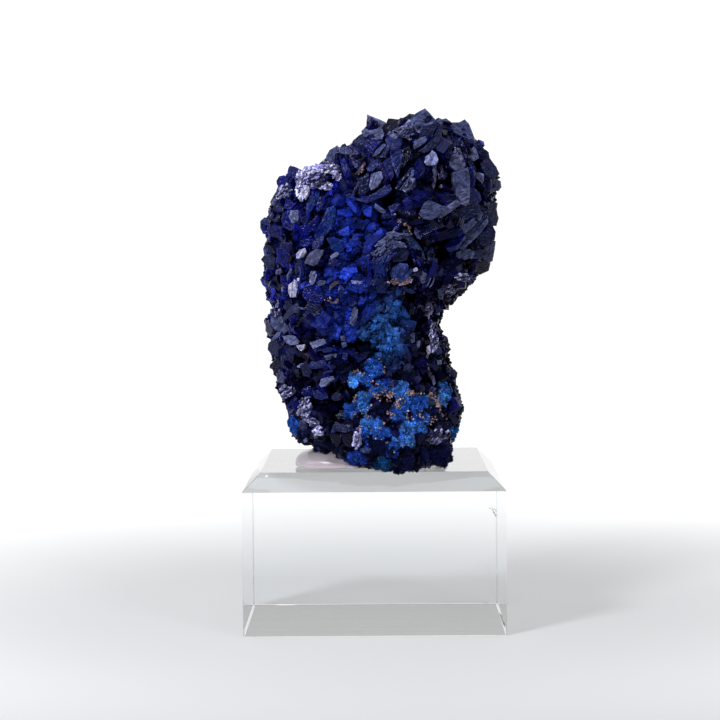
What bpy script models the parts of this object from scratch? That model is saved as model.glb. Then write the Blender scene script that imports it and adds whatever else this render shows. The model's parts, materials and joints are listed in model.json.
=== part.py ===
"""An azurite crystal specimen stuck with clear putty on a bevelled acrylic display block.

Three solids, in metres, +Z up, origin at the centre of the block's underside:
acrylic_block, mounting_putty and azurite_specimen.
"""

import math
import random

import bmesh
import bpy
from mathutils import Matrix, Vector, noise
from mathutils.bvhtree import BVHTree

MM = 0.001
SEED = 11

# --- The acrylic block -----------------------------------------------------
BLOCK_SIDE = 32.0 * MM
BLOCK_HEIGHT = 19.8 * MM
BLOCK_BEVEL = 2.15 * MM
SEAT_GAP = 0.3 * MM  # free space between pieces that touch

# --- The putty: a low lens, thick at its left end, thin at its right ---------
PUTTY_CENTRE = Vector((-0.3, -7.0, 0.0)) * MM
PUTTY_HALF_LENGTH = 9.5 * MM
PUTTY_HALF_WIDTH = 6.2 * MM
PUTTY_LEFT_HEIGHT = 2.5 * MM
PUTTY_RIGHT_HEIGHT = 0.55 * MM
PUTTY_SQUARENESS = 2.6  # 2 is an ellipse, more is boxier

# --- The specimen's body: height, left, right, front and back of each section, in mm
SECTIONS = (
    (19.9, -1.8, 7.8, -13.4, -3.0),
    (21.0, -4.8, 9.0, -14.4, 0.0),
    (22.4, -7.9, 9.5, -14.6, 2.0),
    (24.5, -9.5, 9.9, -14.5, 3.4),
    (27.5, -10.6, 10.4, -14.3, 4.4),
    (31.0, -12.0, 10.0, -13.8, 5.0),
    (34.5, -12.6, 8.8, -13.0, 5.5),
    (37.5, -13.0, 7.8, -12.6, 5.7),
    (39.8, -12.5, 9.0, -12.4, 6.0),
    (42.0, -13.3, 11.5, -12.7, 6.4),
    (44.5, -13.2, 13.9, -13.1, 6.8),
    (48.5, -13.0, 14.6, -13.4, 7.4),
    (51.5, -12.5, 14.9, -13.2, 7.4),
    (54.5, -11.1, 15.2, -12.6, 7.2),
    (56.2, -9.7, 14.9, -12.0, 6.9),
    (57.2, -7.1, 14.3, -11.6, 6.6),
    (58.4, -4.5, 13.6, -11.0, 6.2),
    (60.0, -1.9, 12.5, -9.8, 5.4),
    (61.6, 0.1, 10.7, -8.4, 4.4),
    (62.6, 1.7, 8.7, -7.0, 3.2),
)
SECTION_SQUARENESS = 2.35
CAP_SHARE = 0.3  # the sphere's top and bottom caps close the first and last section

# --- Large swells (+) and hollows (-) of the front: x, z, radius, height, in mm
FRONT_SWELLS = {
    "upper right lobe": (7.5, 53.5, 7.0, 2.4),
    "upper left lobe": (-9.0, 51.5, 4.5, 1.0),
    "left belly": (-6.5, 39.5, 6.0, 1.6),
    "shell fan": (2.6, 44.5, 2.6, 1.5),
    "foot": (2.5, 25.5, 6.5, 1.2),
    "blue saddle": (-3.0, 50.5, 3.6, -0.9),
    "upper cavity": (7.9, 55.0, 1.5, -2.6),
    "lower cavity": (8.2, 46.8, 1.7, -3.2),
    "cleft head": (4.6, 48.0, 1.6, -1.8),
    "cleft foot": (5.6, 41.6, 2.0, -1.6),
    "waist hollow": (7.0, 36.5, 3.0, -1.2),
    "left notch": (-12.5, 37.6, 1.6, -1.0),
    "dark shelf": (-3.2, 34.6, 1.8, -1.3),
    "left fold": (-6.0, 29.0, 2.2, -1.4),
}
BACK_SWELLS = {
    "back upper lobe": (4.0, 54.0, 6.0, 1.8),
    "back left lobe": (-7.0, 45.0, 5.5, 1.4),
    "back foot": (1.0, 28.0, 6.0, 1.2),
    "back hollow": (3.5, 40.0, 4.0, -1.6),
    "back pit": (-3.0, 35.0, 2.5, -1.4),
}

# --- The surface between the crystals ---------------------------------------
BODY_SUBDIVISIONS = 5
ROUGH_SIZE = 5.0 * MM
ROUGH_HEIGHT = 0.9 * MM
FUSE_GRAIN = 0.4 * MM  # grain of the mesh that fuses the small crystals to the body
FACET_COUNT = 5600  # triangles left to that mesh, so that its faces are flat

# Rounded knobs along the foot: x, y, z, radius, in mm
FOOT_KNOBS = (
    (-1.1, -13.2, 21.4, 1.5),
    (1.2, -14.0, 21.0, 1.5),
    (3.8, -14.0, 21.0, 1.6),
    (8.2, -12.0, 21.5, 1.7),
    (-5.6, -10.0, 23.1, 1.4),
    (-8.6, -6.4, 24.6, 1.3),
    (9.3, -9.0, 25.0, 1.5),
    (9.9, -10.0, 27.4, 1.2),
)
KNOB_BUMP = 0.14  # share of a knob's radius

# Blades on the front, set by hand: x, z, length, width, thickness in mm,
# turn of the long edge from upright (degrees, clockwise), lift off the surface (degrees)
BLADES = {
    "crest peak": (6.3, 61.2, 6.6, 5.2, 2.2, 5, 28),
    "crest peak shoulder": (8.8, 60.8, 5.8, 3.8, 2.0, 28, 32),
    "crest left peak": (-0.3, 60.0, 7.2, 3.8, 1.8, -8, 26),
    "crest second peak": (3.0, 60.9, 5.2, 3.6, 1.8, 22, 34),
    "crest right peak": (11.2, 59.8, 5.4, 3.4, 2.0, 14, 36),
    "crest right shoulder": (13.2, 57.8, 4.6, 3.0, 2.0, 30, 36),
    "saddle peak": (-3.6, 57.6, 4.2, 2.8, 1.8, -20, 36),
    "broad plate": (4.6, 59.6, 7.4, 4.6, 1.6, 62, 12),
    "broad plate step": (7.6, 58.6, 4.4, 3.0, 1.4, 50, 14),
    "hook upright": (11.3, 55.4, 8.6, 2.2, 2.2, -8, 8),
    "hook foot": (7.8, 51.4, 6.4, 2.2, 1.8, -66, 8),
    "white blade": (7.3, 58.0, 2.8, 2.2, 1.4, 30, 30),
    "fan blade one": (0.6, 55.4, 6.6, 2.6, 1.1, 36, 24),
    "fan blade two": (2.6, 56.2, 6.8, 2.6, 1.1, 41, 24),
    "fan blade three": (-1.0, 53.8, 6.0, 2.6, 1.1, 31, 22),
    "fan blade four": (4.2, 54.2, 5.4, 2.4, 1.1, 47, 22),
    "upright plate": (-1.8, 56.8, 5.8, 3.0, 1.4, -6, 26),
    "right blade one": (12.4, 49.2, 7.2, 2.4, 1.2, 38, 14),
    "right blade two": (13.6, 47.6, 6.4, 2.4, 1.2, 42, 16),
    "right blade three": (11.2, 47.2, 6.2, 2.2, 1.2, 35, 14),
    "right block one": (14.2, 56.0, 3.6, 3.4, 2.4, 20, 30),
    "right block two": (14.8, 53.2, 3.6, 3.4, 2.4, -15, 30),
    "right block three": (14.6, 50.6, 3.6, 3.2, 2.2, 30, 26),
    "shell rim": (3.2, 47.8, 5.4, 2.4, 1.3, 72, 12),
    "shell outer side": (5.8, 45.4, 6.0, 2.0, 1.2, -26, 10),
    "shell inner side": (4.0, 45.4, 5.0, 1.8, 1.2, -20, 10),
    "shell face": (1.8, 45.0, 5.0, 2.8, 1.4, 14, 10),
    "glitter block": (-7.2, 55.2, 6.0, 4.4, 2.8, 62, 16),
    "left knob one": (-11.2, 55.2, 3.6, 3.4, 2.6, -15, 26),
    "left knob two": (-12.4, 53.4, 3.6, 3.4, 2.4, -35, 26),
    "left knob three": (-10.6, 51.0, 3.2, 3.0, 2.0, 10, 16),
    "left facet": (-13.2, 48.8, 4.4, 3.2, 2.2, -10, 28),
    "pale facet one": (-8.9, 46.0, 3.0, 2.2, 1.6, 40, 20),
    "pale facet two": (-6.8, 45.4, 4.2, 3.4, 1.8, 55, 14),
    "pale facet three": (-10.6, 41.8, 3.8, 2.2, 1.6, 12, 20),
    "pale facet four": (-2.6, 38.6, 4.0, 2.0, 1.4, 25, 16),
    "ledge one": (-10.4, 35.9, 4.6, 2.2, 1.8, 80, 18),
    "ledge two": (-7.0, 35.5, 4.2, 2.2, 1.8, 72, 18),
    "ledge three": (-6.4, 33.3, 6.2, 2.6, 1.8, 78, 14),
    "ledge four": (-6.2, 30.6, 4.8, 2.6, 1.9, 74, 18),
    "ledge five": (-7.8, 28.4, 5.4, 2.8, 1.9, 100, 14),
    "foot block one": (-4.4, 24.9, 5.4, 3.8, 2.6, 70, 18),
    "foot block two": (-8.8, 26.8, 4.0, 2.8, 2.0, 20, 18),
    "foot block three": (-8.2, 24.6, 3.8, 2.8, 2.2, 60, 20),
    "waist facet one": (9.2, 42.6, 3.6, 2.6, 1.8, 60, 20),
    "waist facet two": (7.6, 41.0, 3.4, 2.4, 1.7, 20, 20),
    "waist facet three": (5.8, 42.4, 3.2, 2.2, 1.6, 35, 20),
}
BLADE_ROLL = 24  # most that a blade is rolled about its length, degrees

# Small crystals over the whole surface. Each habit: length from and to in mm,
# width and thickness as shares of the length, lift off the surface from and to in degrees
HABITS = {
    "blades": (3.2, 5.0, 0.62, 0.30, 15, 50),
    "blocks": (2.2, 3.6, 0.85, 0.62, 10, 60),
    "grains": (1.8, 2.6, 0.95, 0.85, 10, 80),
}
BLADES_FROM = Vector((-3.0, 44.0)) * MM  # to the right of and above this are blades
GRAINS_UNDER = 27.5 * MM  # height of the rounded foot
CHANCE_TRIES = 3600
DRIFT_PLACES = (Vector((0, 0, 0)), Vector((31, 7, 3)), Vector((5, 17, 41)))
CHANCE_SPACING = 2.15 * MM
PACKET_SIZE = 6.0 * MM  # neighbours closer than this lie nearly parallel

CRYSTAL_SIDES = 6
TIP_WIDTH = 0.5  # a crystal's tip against its root
TIP_THICKNESS = 0.4
ROOT_DEPTH = 0.6  # share of a crystal's length that stays in the body
BLADE_SLANTS = (0.3, 0.75)  # how steeply a blade's end is cut, as shares of its length
SMALL_SLANT = 0.45


def start_empty():
    """Removes what is in the scene and makes the collections."""
    for item in list(bpy.data.objects):
        bpy.data.objects.remove(item, do_unlink=True)
    made = []
    for name in ("azurite_on_block", "cutters"):
        collection = bpy.data.collections.new(name)
        bpy.context.scene.collection.children.link(collection)
        made.append(collection)
    return made


def finish_material(name, colour, roughness, transmission=0.0, index=1.5):
    material = bpy.data.materials.new(name)
    material.use_nodes = True
    shader = material.node_tree.nodes["Principled BSDF"]
    shader.inputs["Base Color"].default_value = (*colour, 1.0)
    shader.inputs["Roughness"].default_value = roughness
    shader.inputs["Metallic"].default_value = 0.0
    shader.inputs["Transmission Weight"].default_value = transmission
    shader.inputs["IOR"].default_value = index
    return material


def add_object(bm, name, collection, material=None):
    mesh = bpy.data.meshes.new(name)
    bm.to_mesh(mesh)
    bm.free()
    item = bpy.data.objects.new(name, mesh)
    collection.objects.link(item)
    if material:
        mesh.materials.append(material)
    return item


def hide_cutter(item):
    item.hide_render = True
    item.display_type = "WIRE"


def bevelled_block(grow=0.0):
    """The block as a bmesh, with each face moved out by grow."""
    bm = bmesh.new()
    bmesh.ops.create_cube(bm, size=1.0)
    side = BLOCK_SIDE + 2 * grow
    height = BLOCK_HEIGHT + 2 * grow
    bmesh.ops.scale(bm, vec=(side, side, height), verts=bm.verts)
    bmesh.ops.translate(bm, vec=(0, 0, BLOCK_HEIGHT / 2), verts=bm.verts)
    rim = [e for e in bm.edges if all(v.co.z > BLOCK_HEIGHT / 2 for v in e.verts)]
    bmesh.ops.bevel(
        bm, geom=rim, offset=BLOCK_BEVEL, segments=1, affect="EDGES", profile=0.5
    )
    return bm


def putty_lens(grow=0.0):
    """The putty as a bmesh: a sphere pressed flat, with a square-ish outline and a sloping top."""
    bm = bmesh.new()
    bmesh.ops.create_uvsphere(bm, u_segments=28, v_segments=14, radius=1.0)
    floor = BLOCK_HEIGHT + SEAT_GAP
    for vert in bm.verts:
        nx, ny, nz = vert.co
        ring = math.hypot(nx, ny)
        if ring > 1e-6:
            cx, cy = nx / ring, ny / ring
            fullness = (
                abs(cx) ** PUTTY_SQUARENESS + abs(cy) ** PUTTY_SQUARENESS
            ) ** (-1 / PUTTY_SQUARENESS)
            nx, ny = nx * fullness, ny * fullness
        across = (nx + 1) / 2
        top = PUTTY_LEFT_HEIGHT + (PUTTY_RIGHT_HEIGHT - PUTTY_LEFT_HEIGHT) * across
        vert.co = Vector(
            (
                PUTTY_CENTRE.x + nx * (PUTTY_HALF_LENGTH + grow),
                PUTTY_CENTRE.y + ny * (PUTTY_HALF_WIDTH + grow),
                floor + max(nz, 0.0) ** 0.8 * (top + grow) + min(nz, 0.0) * grow,
            )
        )
    if not grow:
        flatten_underside(bm, floor)
    return bm


def flatten_underside(bm, level):
    """Cuts the lens off at a level and closes it with one flat face."""
    geometry = bm.verts[:] + bm.edges[:] + bm.faces[:]
    cut = bmesh.ops.bisect_plane(
        bm,
        geom=geometry,
        plane_co=(0, 0, level + 0.02 * MM),
        plane_no=(0, 0, -1),
        clear_outer=True,
    )
    rim = [g for g in cut["geom_cut"] if isinstance(g, bmesh.types.BMEdge)]
    bmesh.ops.edgeloop_fill(bm, edges=rim)
    bmesh.ops.recalc_face_normals(bm, faces=bm.faces)


def section_at(z):
    """Left, right, front and back at a height, in mm, read between the sections."""
    for low, high in zip(SECTIONS, SECTIONS[1:]):
        if z <= high[0]:
            share = (z - low[0]) / (high[0] - low[0])
            share = min(max(share, 0.0), 1.0)
            return [a + (b - a) * share for a, b in zip(low[1:], high[1:])]
    return list(SECTIONS[-1][1:])


def swell_at(swells, x, z):
    """How far the named swells move the surface out at a place, in mm."""
    total = 0.0
    for sx, sz, radius, height in swells.values():
        total += height * math.exp(-((x - sx) ** 2 + (z - sz) ** 2) / radius**2)
    return total


def body_point(direction):
    """Where a point of the unit sphere lies on the specimen's body."""
    low, high = SECTIONS[0][0], SECTIONS[-1][0]
    z = (low + high) / 2 + direction.z * (high - low) / 2
    left, right, front, back = section_at(z)
    ring = math.hypot(direction.x, direction.y)
    closing = min(1.0, ring / CAP_SHARE)
    cx, cy = (direction.x / ring, direction.y / ring) if ring > 1e-6 else (0.0, 0.0)
    fullness = (abs(cx) ** SECTION_SQUARENESS + abs(cy) ** SECTION_SQUARENESS) ** (
        -1 / SECTION_SQUARENESS
    ) if ring > 1e-6 else 0.0
    x = (left + right) / 2 + (right - left) / 2 * fullness * closing * cx
    y = (front + back) / 2 + (back - front) / 2 * fullness * closing * cy
    facing = abs(cy) * closing
    if cy < 0:
        y -= swell_at(FRONT_SWELLS, x, z) * facing
    else:
        y += swell_at(BACK_SWELLS, x, z) * facing
    return Vector((x, y, z)) * MM


def roughness_at(point):
    """Height of the lumps and dents at a point of the body."""
    return noise.fractal(point / ROUGH_SIZE, 0.9, 2.1, 3) * ROUGH_HEIGHT


def body_bmesh():
    """The specimen without its crystals: one lumpy closed surface with broken facets."""
    bm = bmesh.new()
    bmesh.ops.create_icosphere(bm, subdivisions=BODY_SUBDIVISIONS, radius=1.0)
    for vert in bm.verts:
        vert.co = body_point(vert.co.normalized())
    bm.normal_update()
    moved = [v.co + v.normal * roughness_at(v.co) for v in bm.verts]
    for vert, place in zip(bm.verts, moved):
        vert.co = place
    bmesh.ops.recalc_face_normals(bm, faces=bm.faces)
    return bm


def crystal_bmesh(length, width, thickness, slant):
    """A flat six-sided blade along +Z with a slanted chisel tip; z = 0 is where it leaves the body."""
    bm = bmesh.new()
    bmesh.ops.create_cone(
        bm,
        cap_ends=True,
        segments=CRYSTAL_SIDES,
        radius1=0.5,
        radius2=0.5 * TIP_WIDTH,
        depth=1.0,
    )
    for vert in bm.verts:
        x, y, z = vert.co
        tip = z > 0
        y *= TIP_THICKNESS / TIP_WIDTH if tip else 1.0
        along = (z + 0.5) - ROOT_DEPTH + (slant * x if tip else 0.0)
        vert.co = Vector((x * width, y * thickness, along * length))
    return bm


def frame_along(direction, flat_normal):
    """A rotation that takes +Z to direction and turns the flat side towards flat_normal."""
    z = direction.normalized()
    x = flat_normal.cross(z)
    if x.length < 1e-6:
        x = z.orthogonal()
    x.normalize()
    return Matrix((x, z.cross(x), z)).transposed().to_4x4()


def crystal_at(place, direction, flat_normal, size, slant):
    """A crystal that stands at a place, as a bmesh."""
    bm = crystal_bmesh(*size, slant)
    turn = Matrix.Translation(place) @ frame_along(direction, flat_normal)
    bmesh.ops.transform(bm, matrix=turn, verts=bm.verts)
    return bm


def leaning(normal, upright_turn, lift):
    """A blade's direction: turned clockwise from upright within the surface, then lifted off it."""
    up = Vector((0, 0, 1)) - normal * normal.z
    up.normalize()
    side = normal.cross(up)
    turn, rise = math.radians(upright_turn), math.radians(lift)
    along = up * math.cos(turn) - side * math.sin(turn)
    return along * math.cos(rise) + normal * math.sin(rise)


def add_blades(surface, chance, shapes):
    """The blades that are set by hand on the front."""
    for name, (x, z, length, width, thickness, turn, lift) in BLADES.items():
        start = Vector((x, -40.0, z)) * MM
        place, normal, _, _ = surface.ray_cast(start, Vector((0, 1, 0)))
        if place is None:
            place, normal, _, _ = surface.find_nearest(Vector((x, -6.0, z)) * MM)
        direction = leaning(normal, turn, lift)
        roll = math.radians(chance.uniform(-BLADE_ROLL, BLADE_ROLL))
        flat_normal = Matrix.Rotation(roll, 3, direction) @ normal
        size = (length * MM, width * MM, thickness * MM)
        slant = chance.uniform(*BLADE_SLANTS) * chance.choice((-1, 1))
        bm = crystal_at(place, direction, flat_normal, size, slant)
        hide_cutter(add_object(bm, name.replace(" ", "_"), shapes))


def habit_at(place):
    """Which kind of small crystal grows at a place."""
    if place.z < GRAINS_UNDER:
        return HABITS["grains"]
    if place.x > BLADES_FROM.x and place.z > BLADES_FROM.y:
        return HABITS["blades"]
    return HABITS["blocks"]


def small_crystal(place, normal, chance):
    """One small crystal on the body. Its direction follows its neighbours', so they form packets."""
    shortest, longest, wide, thick, lowest_lift, highest_lift = habit_at(place)
    drift = Vector([noise.noise(place / PACKET_SIZE + other) for other in DRIFT_PLACES])
    along = (drift - normal * drift.dot(normal)).normalized()
    lift = math.radians(chance.uniform(lowest_lift, highest_lift))
    direction = along * math.cos(lift) + normal * math.sin(lift)
    length = chance.uniform(shortest, longest) * MM
    width = length * wide * chance.uniform(0.8, 1.2)
    thickness = length * thick * chance.uniform(0.8, 1.2)
    slant = chance.uniform(-SMALL_SLANT, SMALL_SLANT)
    return crystal_at(place, direction, normal, (length, width, thickness), slant)


def add_small_crystals(bm, chance):
    """Small crystals all over the body, joined to its bmesh and still overlapping it."""
    faces = list(bm.faces)
    weights = [f.calc_area() for f in faces]
    spots = [(f.calc_center_median(), f.normal.copy()) for f in faces]
    places = []
    for place, normal in chance.choices(spots, weights, k=CHANCE_TRIES):
        if all((place - other).length > CHANCE_SPACING for other in places):
            places.append(place)
            join_bmesh(bm, small_crystal(place, normal, chance))


def add_knobs(bm):
    """Rounded knobs of tiny crystals along the foot, joined to the body's bmesh."""
    for number, (x, y, z, radius) in enumerate(FOOT_KNOBS):
        knob = bmesh.new()
        bmesh.ops.create_icosphere(knob, subdivisions=3, radius=radius * MM)
        for vert in knob.verts:
            bump = noise.noise(vert.co / (0.9 * MM) + Vector((number, 0, 0)))
            vert.co *= 1.0 + KNOB_BUMP * bump
        bmesh.ops.translate(knob, vec=Vector((x, y, z)) * MM, verts=knob.verts)
        join_bmesh(bm, knob)


def join_bmesh(bm, other):
    """Adds the second bmesh to the first and frees it."""
    mesh = bpy.data.meshes.new("joined")
    other.to_mesh(mesh)
    other.free()
    bm.from_mesh(mesh)
    bpy.data.meshes.remove(mesh)


def fuse(specimen):
    """One closed skin around the body and its small crystals, with flat facets."""
    skin = specimen.modifiers.new("one skin", "REMESH")
    skin.mode = "VOXEL"
    skin.voxel_size = FUSE_GRAIN
    triangles = settle(specimen)
    facets = specimen.modifiers.new("flat facets", "DECIMATE")
    facets.ratio = FACET_COUNT / triangles
    facets.use_collapse_triangulate = True


def settle(item):
    """Applies an object's modifiers, keeps its largest closed piece and counts its triangles."""
    graph = bpy.context.evaluated_depsgraph_get()
    mesh = bpy.data.meshes.new_from_object(item.evaluated_get(graph))
    item.modifiers.clear()
    item.data = mesh
    bm = bmesh.new()
    bm.from_mesh(mesh)
    drop_loose_bits(bm)
    bm.to_mesh(mesh)
    triangles = sum(len(f.verts) - 2 for f in bm.faces)
    bm.free()
    return triangles


def drop_loose_bits(bm):
    """Deletes all but the largest of a bmesh's closed pieces."""
    unseen = set(bm.verts)
    pieces = []
    while unseen:
        piece = [unseen.pop()]
        for vert in piece:
            near = {edge.other_vert(vert) for edge in vert.link_edges} & unseen
            unseen -= near
            piece.extend(near)
        pieces.append(piece)
    largest = max(pieces, key=len)
    loose = [v for piece in pieces if piece is not largest for v in piece]
    bmesh.ops.delete(bm, geom=loose, context="VERTS")


def boolean(item, name, operation, other):
    modifier = item.modifiers.new(name, "BOOLEAN")
    modifier.operation = operation
    modifier.solver = "EXACT"
    if isinstance(other, bpy.types.Collection):
        modifier.operand_type = "COLLECTION"
        modifier.collection = other
    else:
        modifier.object = other


def main():
    parts, cutters = start_empty()
    shapes = bpy.data.collections.new("blade_shapes")
    cutters.children.link(shapes)
    clear = finish_material("clear_acrylic", (0.93, 0.96, 0.96), 0.02, 1.0, 1.49)
    soft = finish_material("clear_putty", (0.93, 0.90, 0.92), 0.12, 1.0, 1.47)
    blue = finish_material("azurite_blue", (0.02, 0.03, 0.18), 0.35)

    add_object(bevelled_block(), "acrylic_block", parts, clear)
    putty = add_object(putty_lens(), "mounting_putty", parts, soft)
    putty.data.shade_smooth()
    putty.data.set_sharp_from_angle(angle=math.radians(50))

    chance = random.Random(SEED)
    bm = body_bmesh()
    surface = BVHTree.FromBMesh(bm)
    add_blades(surface, chance, shapes)
    add_small_crystals(bm, chance)
    add_knobs(bm)
    specimen = add_object(bm, "azurite_specimen", parts, blue)
    fuse(specimen)
    boolean(specimen, "large blades", "UNION", shapes)
    seats = {
        "putty seat": putty_lens(grow=SEAT_GAP),
        "block seat": bevelled_block(grow=SEAT_GAP),
    }
    for name, seat in seats.items():
        cutter = add_object(seat, name.replace(" ", "_"), cutters)
        hide_cutter(cutter)
        boolean(specimen, name, "DIFFERENCE", cutter)
    settle(specimen)


main()
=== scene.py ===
# %% [markdown]
# # Azurite on an acrylic block
# A hand-sized showpiece from a mineral cabinet: a knobbly upright cluster of azurite, a deep blue copper
# mineral, stuck with clear putty to a small block of clear acrylic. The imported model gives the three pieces
# at their real size. This script gives them their surfaces. The block gets a clear material and its marks of
# wear, the putty gets a softer shape, and the azurite is dressed with thousands of crystals.

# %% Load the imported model
import json
import math

import bmesh
import bpy
import numpy as np
from mathutils import Matrix, Vector
from mathutils.bvhtree import BVHTree
from mathutils.geometry import tessellate_polygon

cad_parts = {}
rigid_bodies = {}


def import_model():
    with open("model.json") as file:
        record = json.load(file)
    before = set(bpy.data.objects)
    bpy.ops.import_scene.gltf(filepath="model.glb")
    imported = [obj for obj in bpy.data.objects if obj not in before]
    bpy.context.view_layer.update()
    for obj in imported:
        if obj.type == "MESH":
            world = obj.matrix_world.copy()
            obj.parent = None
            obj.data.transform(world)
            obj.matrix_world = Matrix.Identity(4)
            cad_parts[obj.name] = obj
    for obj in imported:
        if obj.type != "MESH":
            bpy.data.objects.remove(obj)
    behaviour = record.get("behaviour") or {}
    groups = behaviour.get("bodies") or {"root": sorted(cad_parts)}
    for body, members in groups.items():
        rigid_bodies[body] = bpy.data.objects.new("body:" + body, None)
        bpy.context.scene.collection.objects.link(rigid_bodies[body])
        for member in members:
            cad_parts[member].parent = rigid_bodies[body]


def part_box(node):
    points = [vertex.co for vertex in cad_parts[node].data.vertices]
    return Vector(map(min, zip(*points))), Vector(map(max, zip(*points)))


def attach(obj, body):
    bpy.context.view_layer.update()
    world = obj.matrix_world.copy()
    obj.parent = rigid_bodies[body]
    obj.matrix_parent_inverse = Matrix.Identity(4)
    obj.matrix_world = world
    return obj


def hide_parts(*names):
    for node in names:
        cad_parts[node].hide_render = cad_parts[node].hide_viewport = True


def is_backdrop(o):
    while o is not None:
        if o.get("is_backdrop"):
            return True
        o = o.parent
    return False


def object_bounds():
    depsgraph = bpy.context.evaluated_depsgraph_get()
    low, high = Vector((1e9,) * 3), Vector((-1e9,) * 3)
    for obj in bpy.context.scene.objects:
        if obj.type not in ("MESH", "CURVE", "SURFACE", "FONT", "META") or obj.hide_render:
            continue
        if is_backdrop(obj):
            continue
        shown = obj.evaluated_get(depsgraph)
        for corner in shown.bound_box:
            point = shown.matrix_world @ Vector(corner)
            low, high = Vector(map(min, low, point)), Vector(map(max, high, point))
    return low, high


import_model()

MM = 0.001
SEED = 7
cad_low, cad_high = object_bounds()
print("whole object, mm:", [round(v / MM, 1) for v in cad_high - cad_low])

# %% [markdown]
# ## The camera
# A long lens close to the object, almost level with the foot of the cluster. The block's edges are nearly
# parallel, as they are from such a lens. The camera is turned and tilted by small angles, so its axes are
# worked out once here. They are used again further on, to set crystals at a place in the frame.

# %% Set the camera
FRAME_SIDE = 720  # places in the frame are counted in 720ths of its side, from its top left
CAMERA_PLACE = Vector((0.87, -256.47, 48.43)) * MM
CAMERA_PITCH, CAMERA_YAW, CAMERA_ROLL = (math.radians(a) for a in (-3.53, 0.58, 0.46))
LENS, SENSOR = 100.27, 36.0

turned = Matrix.Rotation(CAMERA_YAW, 3, "Z") @ Matrix.Rotation(CAMERA_PITCH, 3, "X")
turned = turned @ Matrix.Rotation(CAMERA_ROLL, 3, "Y")
TO_RIGHT, AWAY, UPWARDS = (turned @ Vector(axis) for axis in ((1, 0, 0), (0, 1, 0), (0, 0, 1)))

bpy.ops.object.select_all(action="DESELECT")
bpy.ops.object.camera_add(location=CAMERA_PLACE)
camera = bpy.context.object
camera.name = "camera"
camera.rotation_euler = Matrix((TO_RIGHT, UPWARDS, -AWAY)).transposed().to_euler()
camera.data.lens, camera.data.sensor_width = LENS, SENSOR
camera.data.clip_start, camera.data.clip_end = 0.01, 10
bpy.context.scene.camera = camera
FOCAL = LENS / SENSOR * FRAME_SIDE
VIEWPOINT, AHEAD, RIGHT, UP = (np.array(axis) for axis in (CAMERA_PLACE, AWAY, TO_RIGHT, UPWARDS))


def frame_place(points):
    """Where points (n, 3) lie in the camera's frame: two arrays, across and down."""
    apart = points - VIEWPOINT
    far = apart @ AHEAD
    across = FRAME_SIDE / 2 + FOCAL * (apart @ RIGHT) / far
    down = FRAME_SIDE / 2 - FOCAL * (apart @ UP) / far
    return across, down


def sight(across, down):
    """The direction of the line of sight through a place of the frame."""
    right, up = (across - FRAME_SIDE / 2) / FOCAL, (FRAME_SIDE / 2 - down) / FOCAL
    return (AWAY + TO_RIGHT * right + UPWARDS * up).normalized()


print("lens", LENS, "mm, focal length in frame units", round(FOCAL, 1))

# %% [markdown]
# ## Small helpers
# Every piece is modelled in the same few steps: add a primitive, pick some of its faces or edges in edit
# mode, change them, and come back. Operators act on everything that is selected, so each step starts with
# nothing selected.

# %% Helpers for directions


def unit(directions):
    """Directions (n, 3), each made one long."""
    return directions / np.linalg.norm(directions, axis=1, keepdims=True)


def square_to(directions, axes):
    """Directions (n, 3) without their share along the axes, which are one long."""
    return directions - axes * (directions * axes).sum(axis=1, keepdims=True)


# %% Helpers for modelling


def alone(piece):
    """Makes one object the only selected one, and the active one."""
    bpy.ops.object.select_all(action="DESELECT")
    piece.select_set(True)
    bpy.context.view_layer.objects.active = piece


def add(primitive, name, **settings):
    """Adds a primitive while nothing is selected, names it and opens it in edit mode."""
    bpy.ops.object.select_all(action="DESELECT")
    primitive(**settings)
    bpy.context.object.name = name
    bpy.ops.object.mode_set(mode="EDIT")
    return bpy.context.object


def pick(kind, test):
    """In edit mode, selects the verts, edges or faces that pass a test."""
    mesh = bpy.context.edit_object.data
    bpy.ops.mesh.select_mode(type={"verts": "VERT", "edges": "EDGE", "faces": "FACE"}[kind])
    bpy.ops.mesh.select_all(action="DESELECT")
    shape = bmesh.from_edit_mesh(mesh)
    for part in getattr(shape, kind):
        if test(part):
            part.select_set(True)
    shape.select_flush_mode()
    bmesh.update_edit_mesh(mesh)


def move(kind, test, by):
    """In edit mode, moves the verts, edges or faces that pass a test."""
    pick(kind, test)
    bpy.ops.transform.translate(value=by)


def apply_all(piece):
    """Applies the piece's modifiers in their order."""
    alone(piece)
    for modifier in list(piece.modifiers):
        bpy.ops.object.modifier_apply(modifier=modifier.name)


def copy_of(node, name):
    """A free copy of a frame node, with its loose triangles merged into one skin."""
    alone(bpy.data.objects[node])
    bpy.ops.object.duplicate()
    piece = bpy.context.object
    piece.name = name
    bpy.ops.object.parent_clear(type="CLEAR_KEEP_TRANSFORM")
    piece.data.materials.clear()
    bpy.ops.object.mode_set(mode="EDIT")
    bpy.ops.mesh.select_all(action="SELECT")
    bpy.ops.mesh.remove_doubles(threshold=1e-6)
    bpy.ops.object.mode_set(mode="OBJECT")
    return piece


# %% [markdown]
# ## The ground of the cluster
# On the real piece the crystals grow from a crust of finer ones, dark between them. The solid has the right
# lobes, ledges and hollows but its facets are too coarse for a close look. Remeshing a copy of it in small
# cells gives an even skin that can take fine relief. Two smoother copies are kept out of the render. The
# first says which way is out at any place, without the facets' noise. The second is so smooth that what lies
# below it is a hollow.

# %% Make the ground and two guide skins
GROUND_CELL = 0.5 * MM
GUIDE_SMOOTHING = 9
HULL_SMOOTHING = 90

ground = copy_of("azurite_specimen", "azurite_ground")
remesh = ground.modifiers.new("cells", "REMESH")
remesh.mode, remesh.voxel_size = "VOXEL", GROUND_CELL
apply_all(ground)


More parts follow.
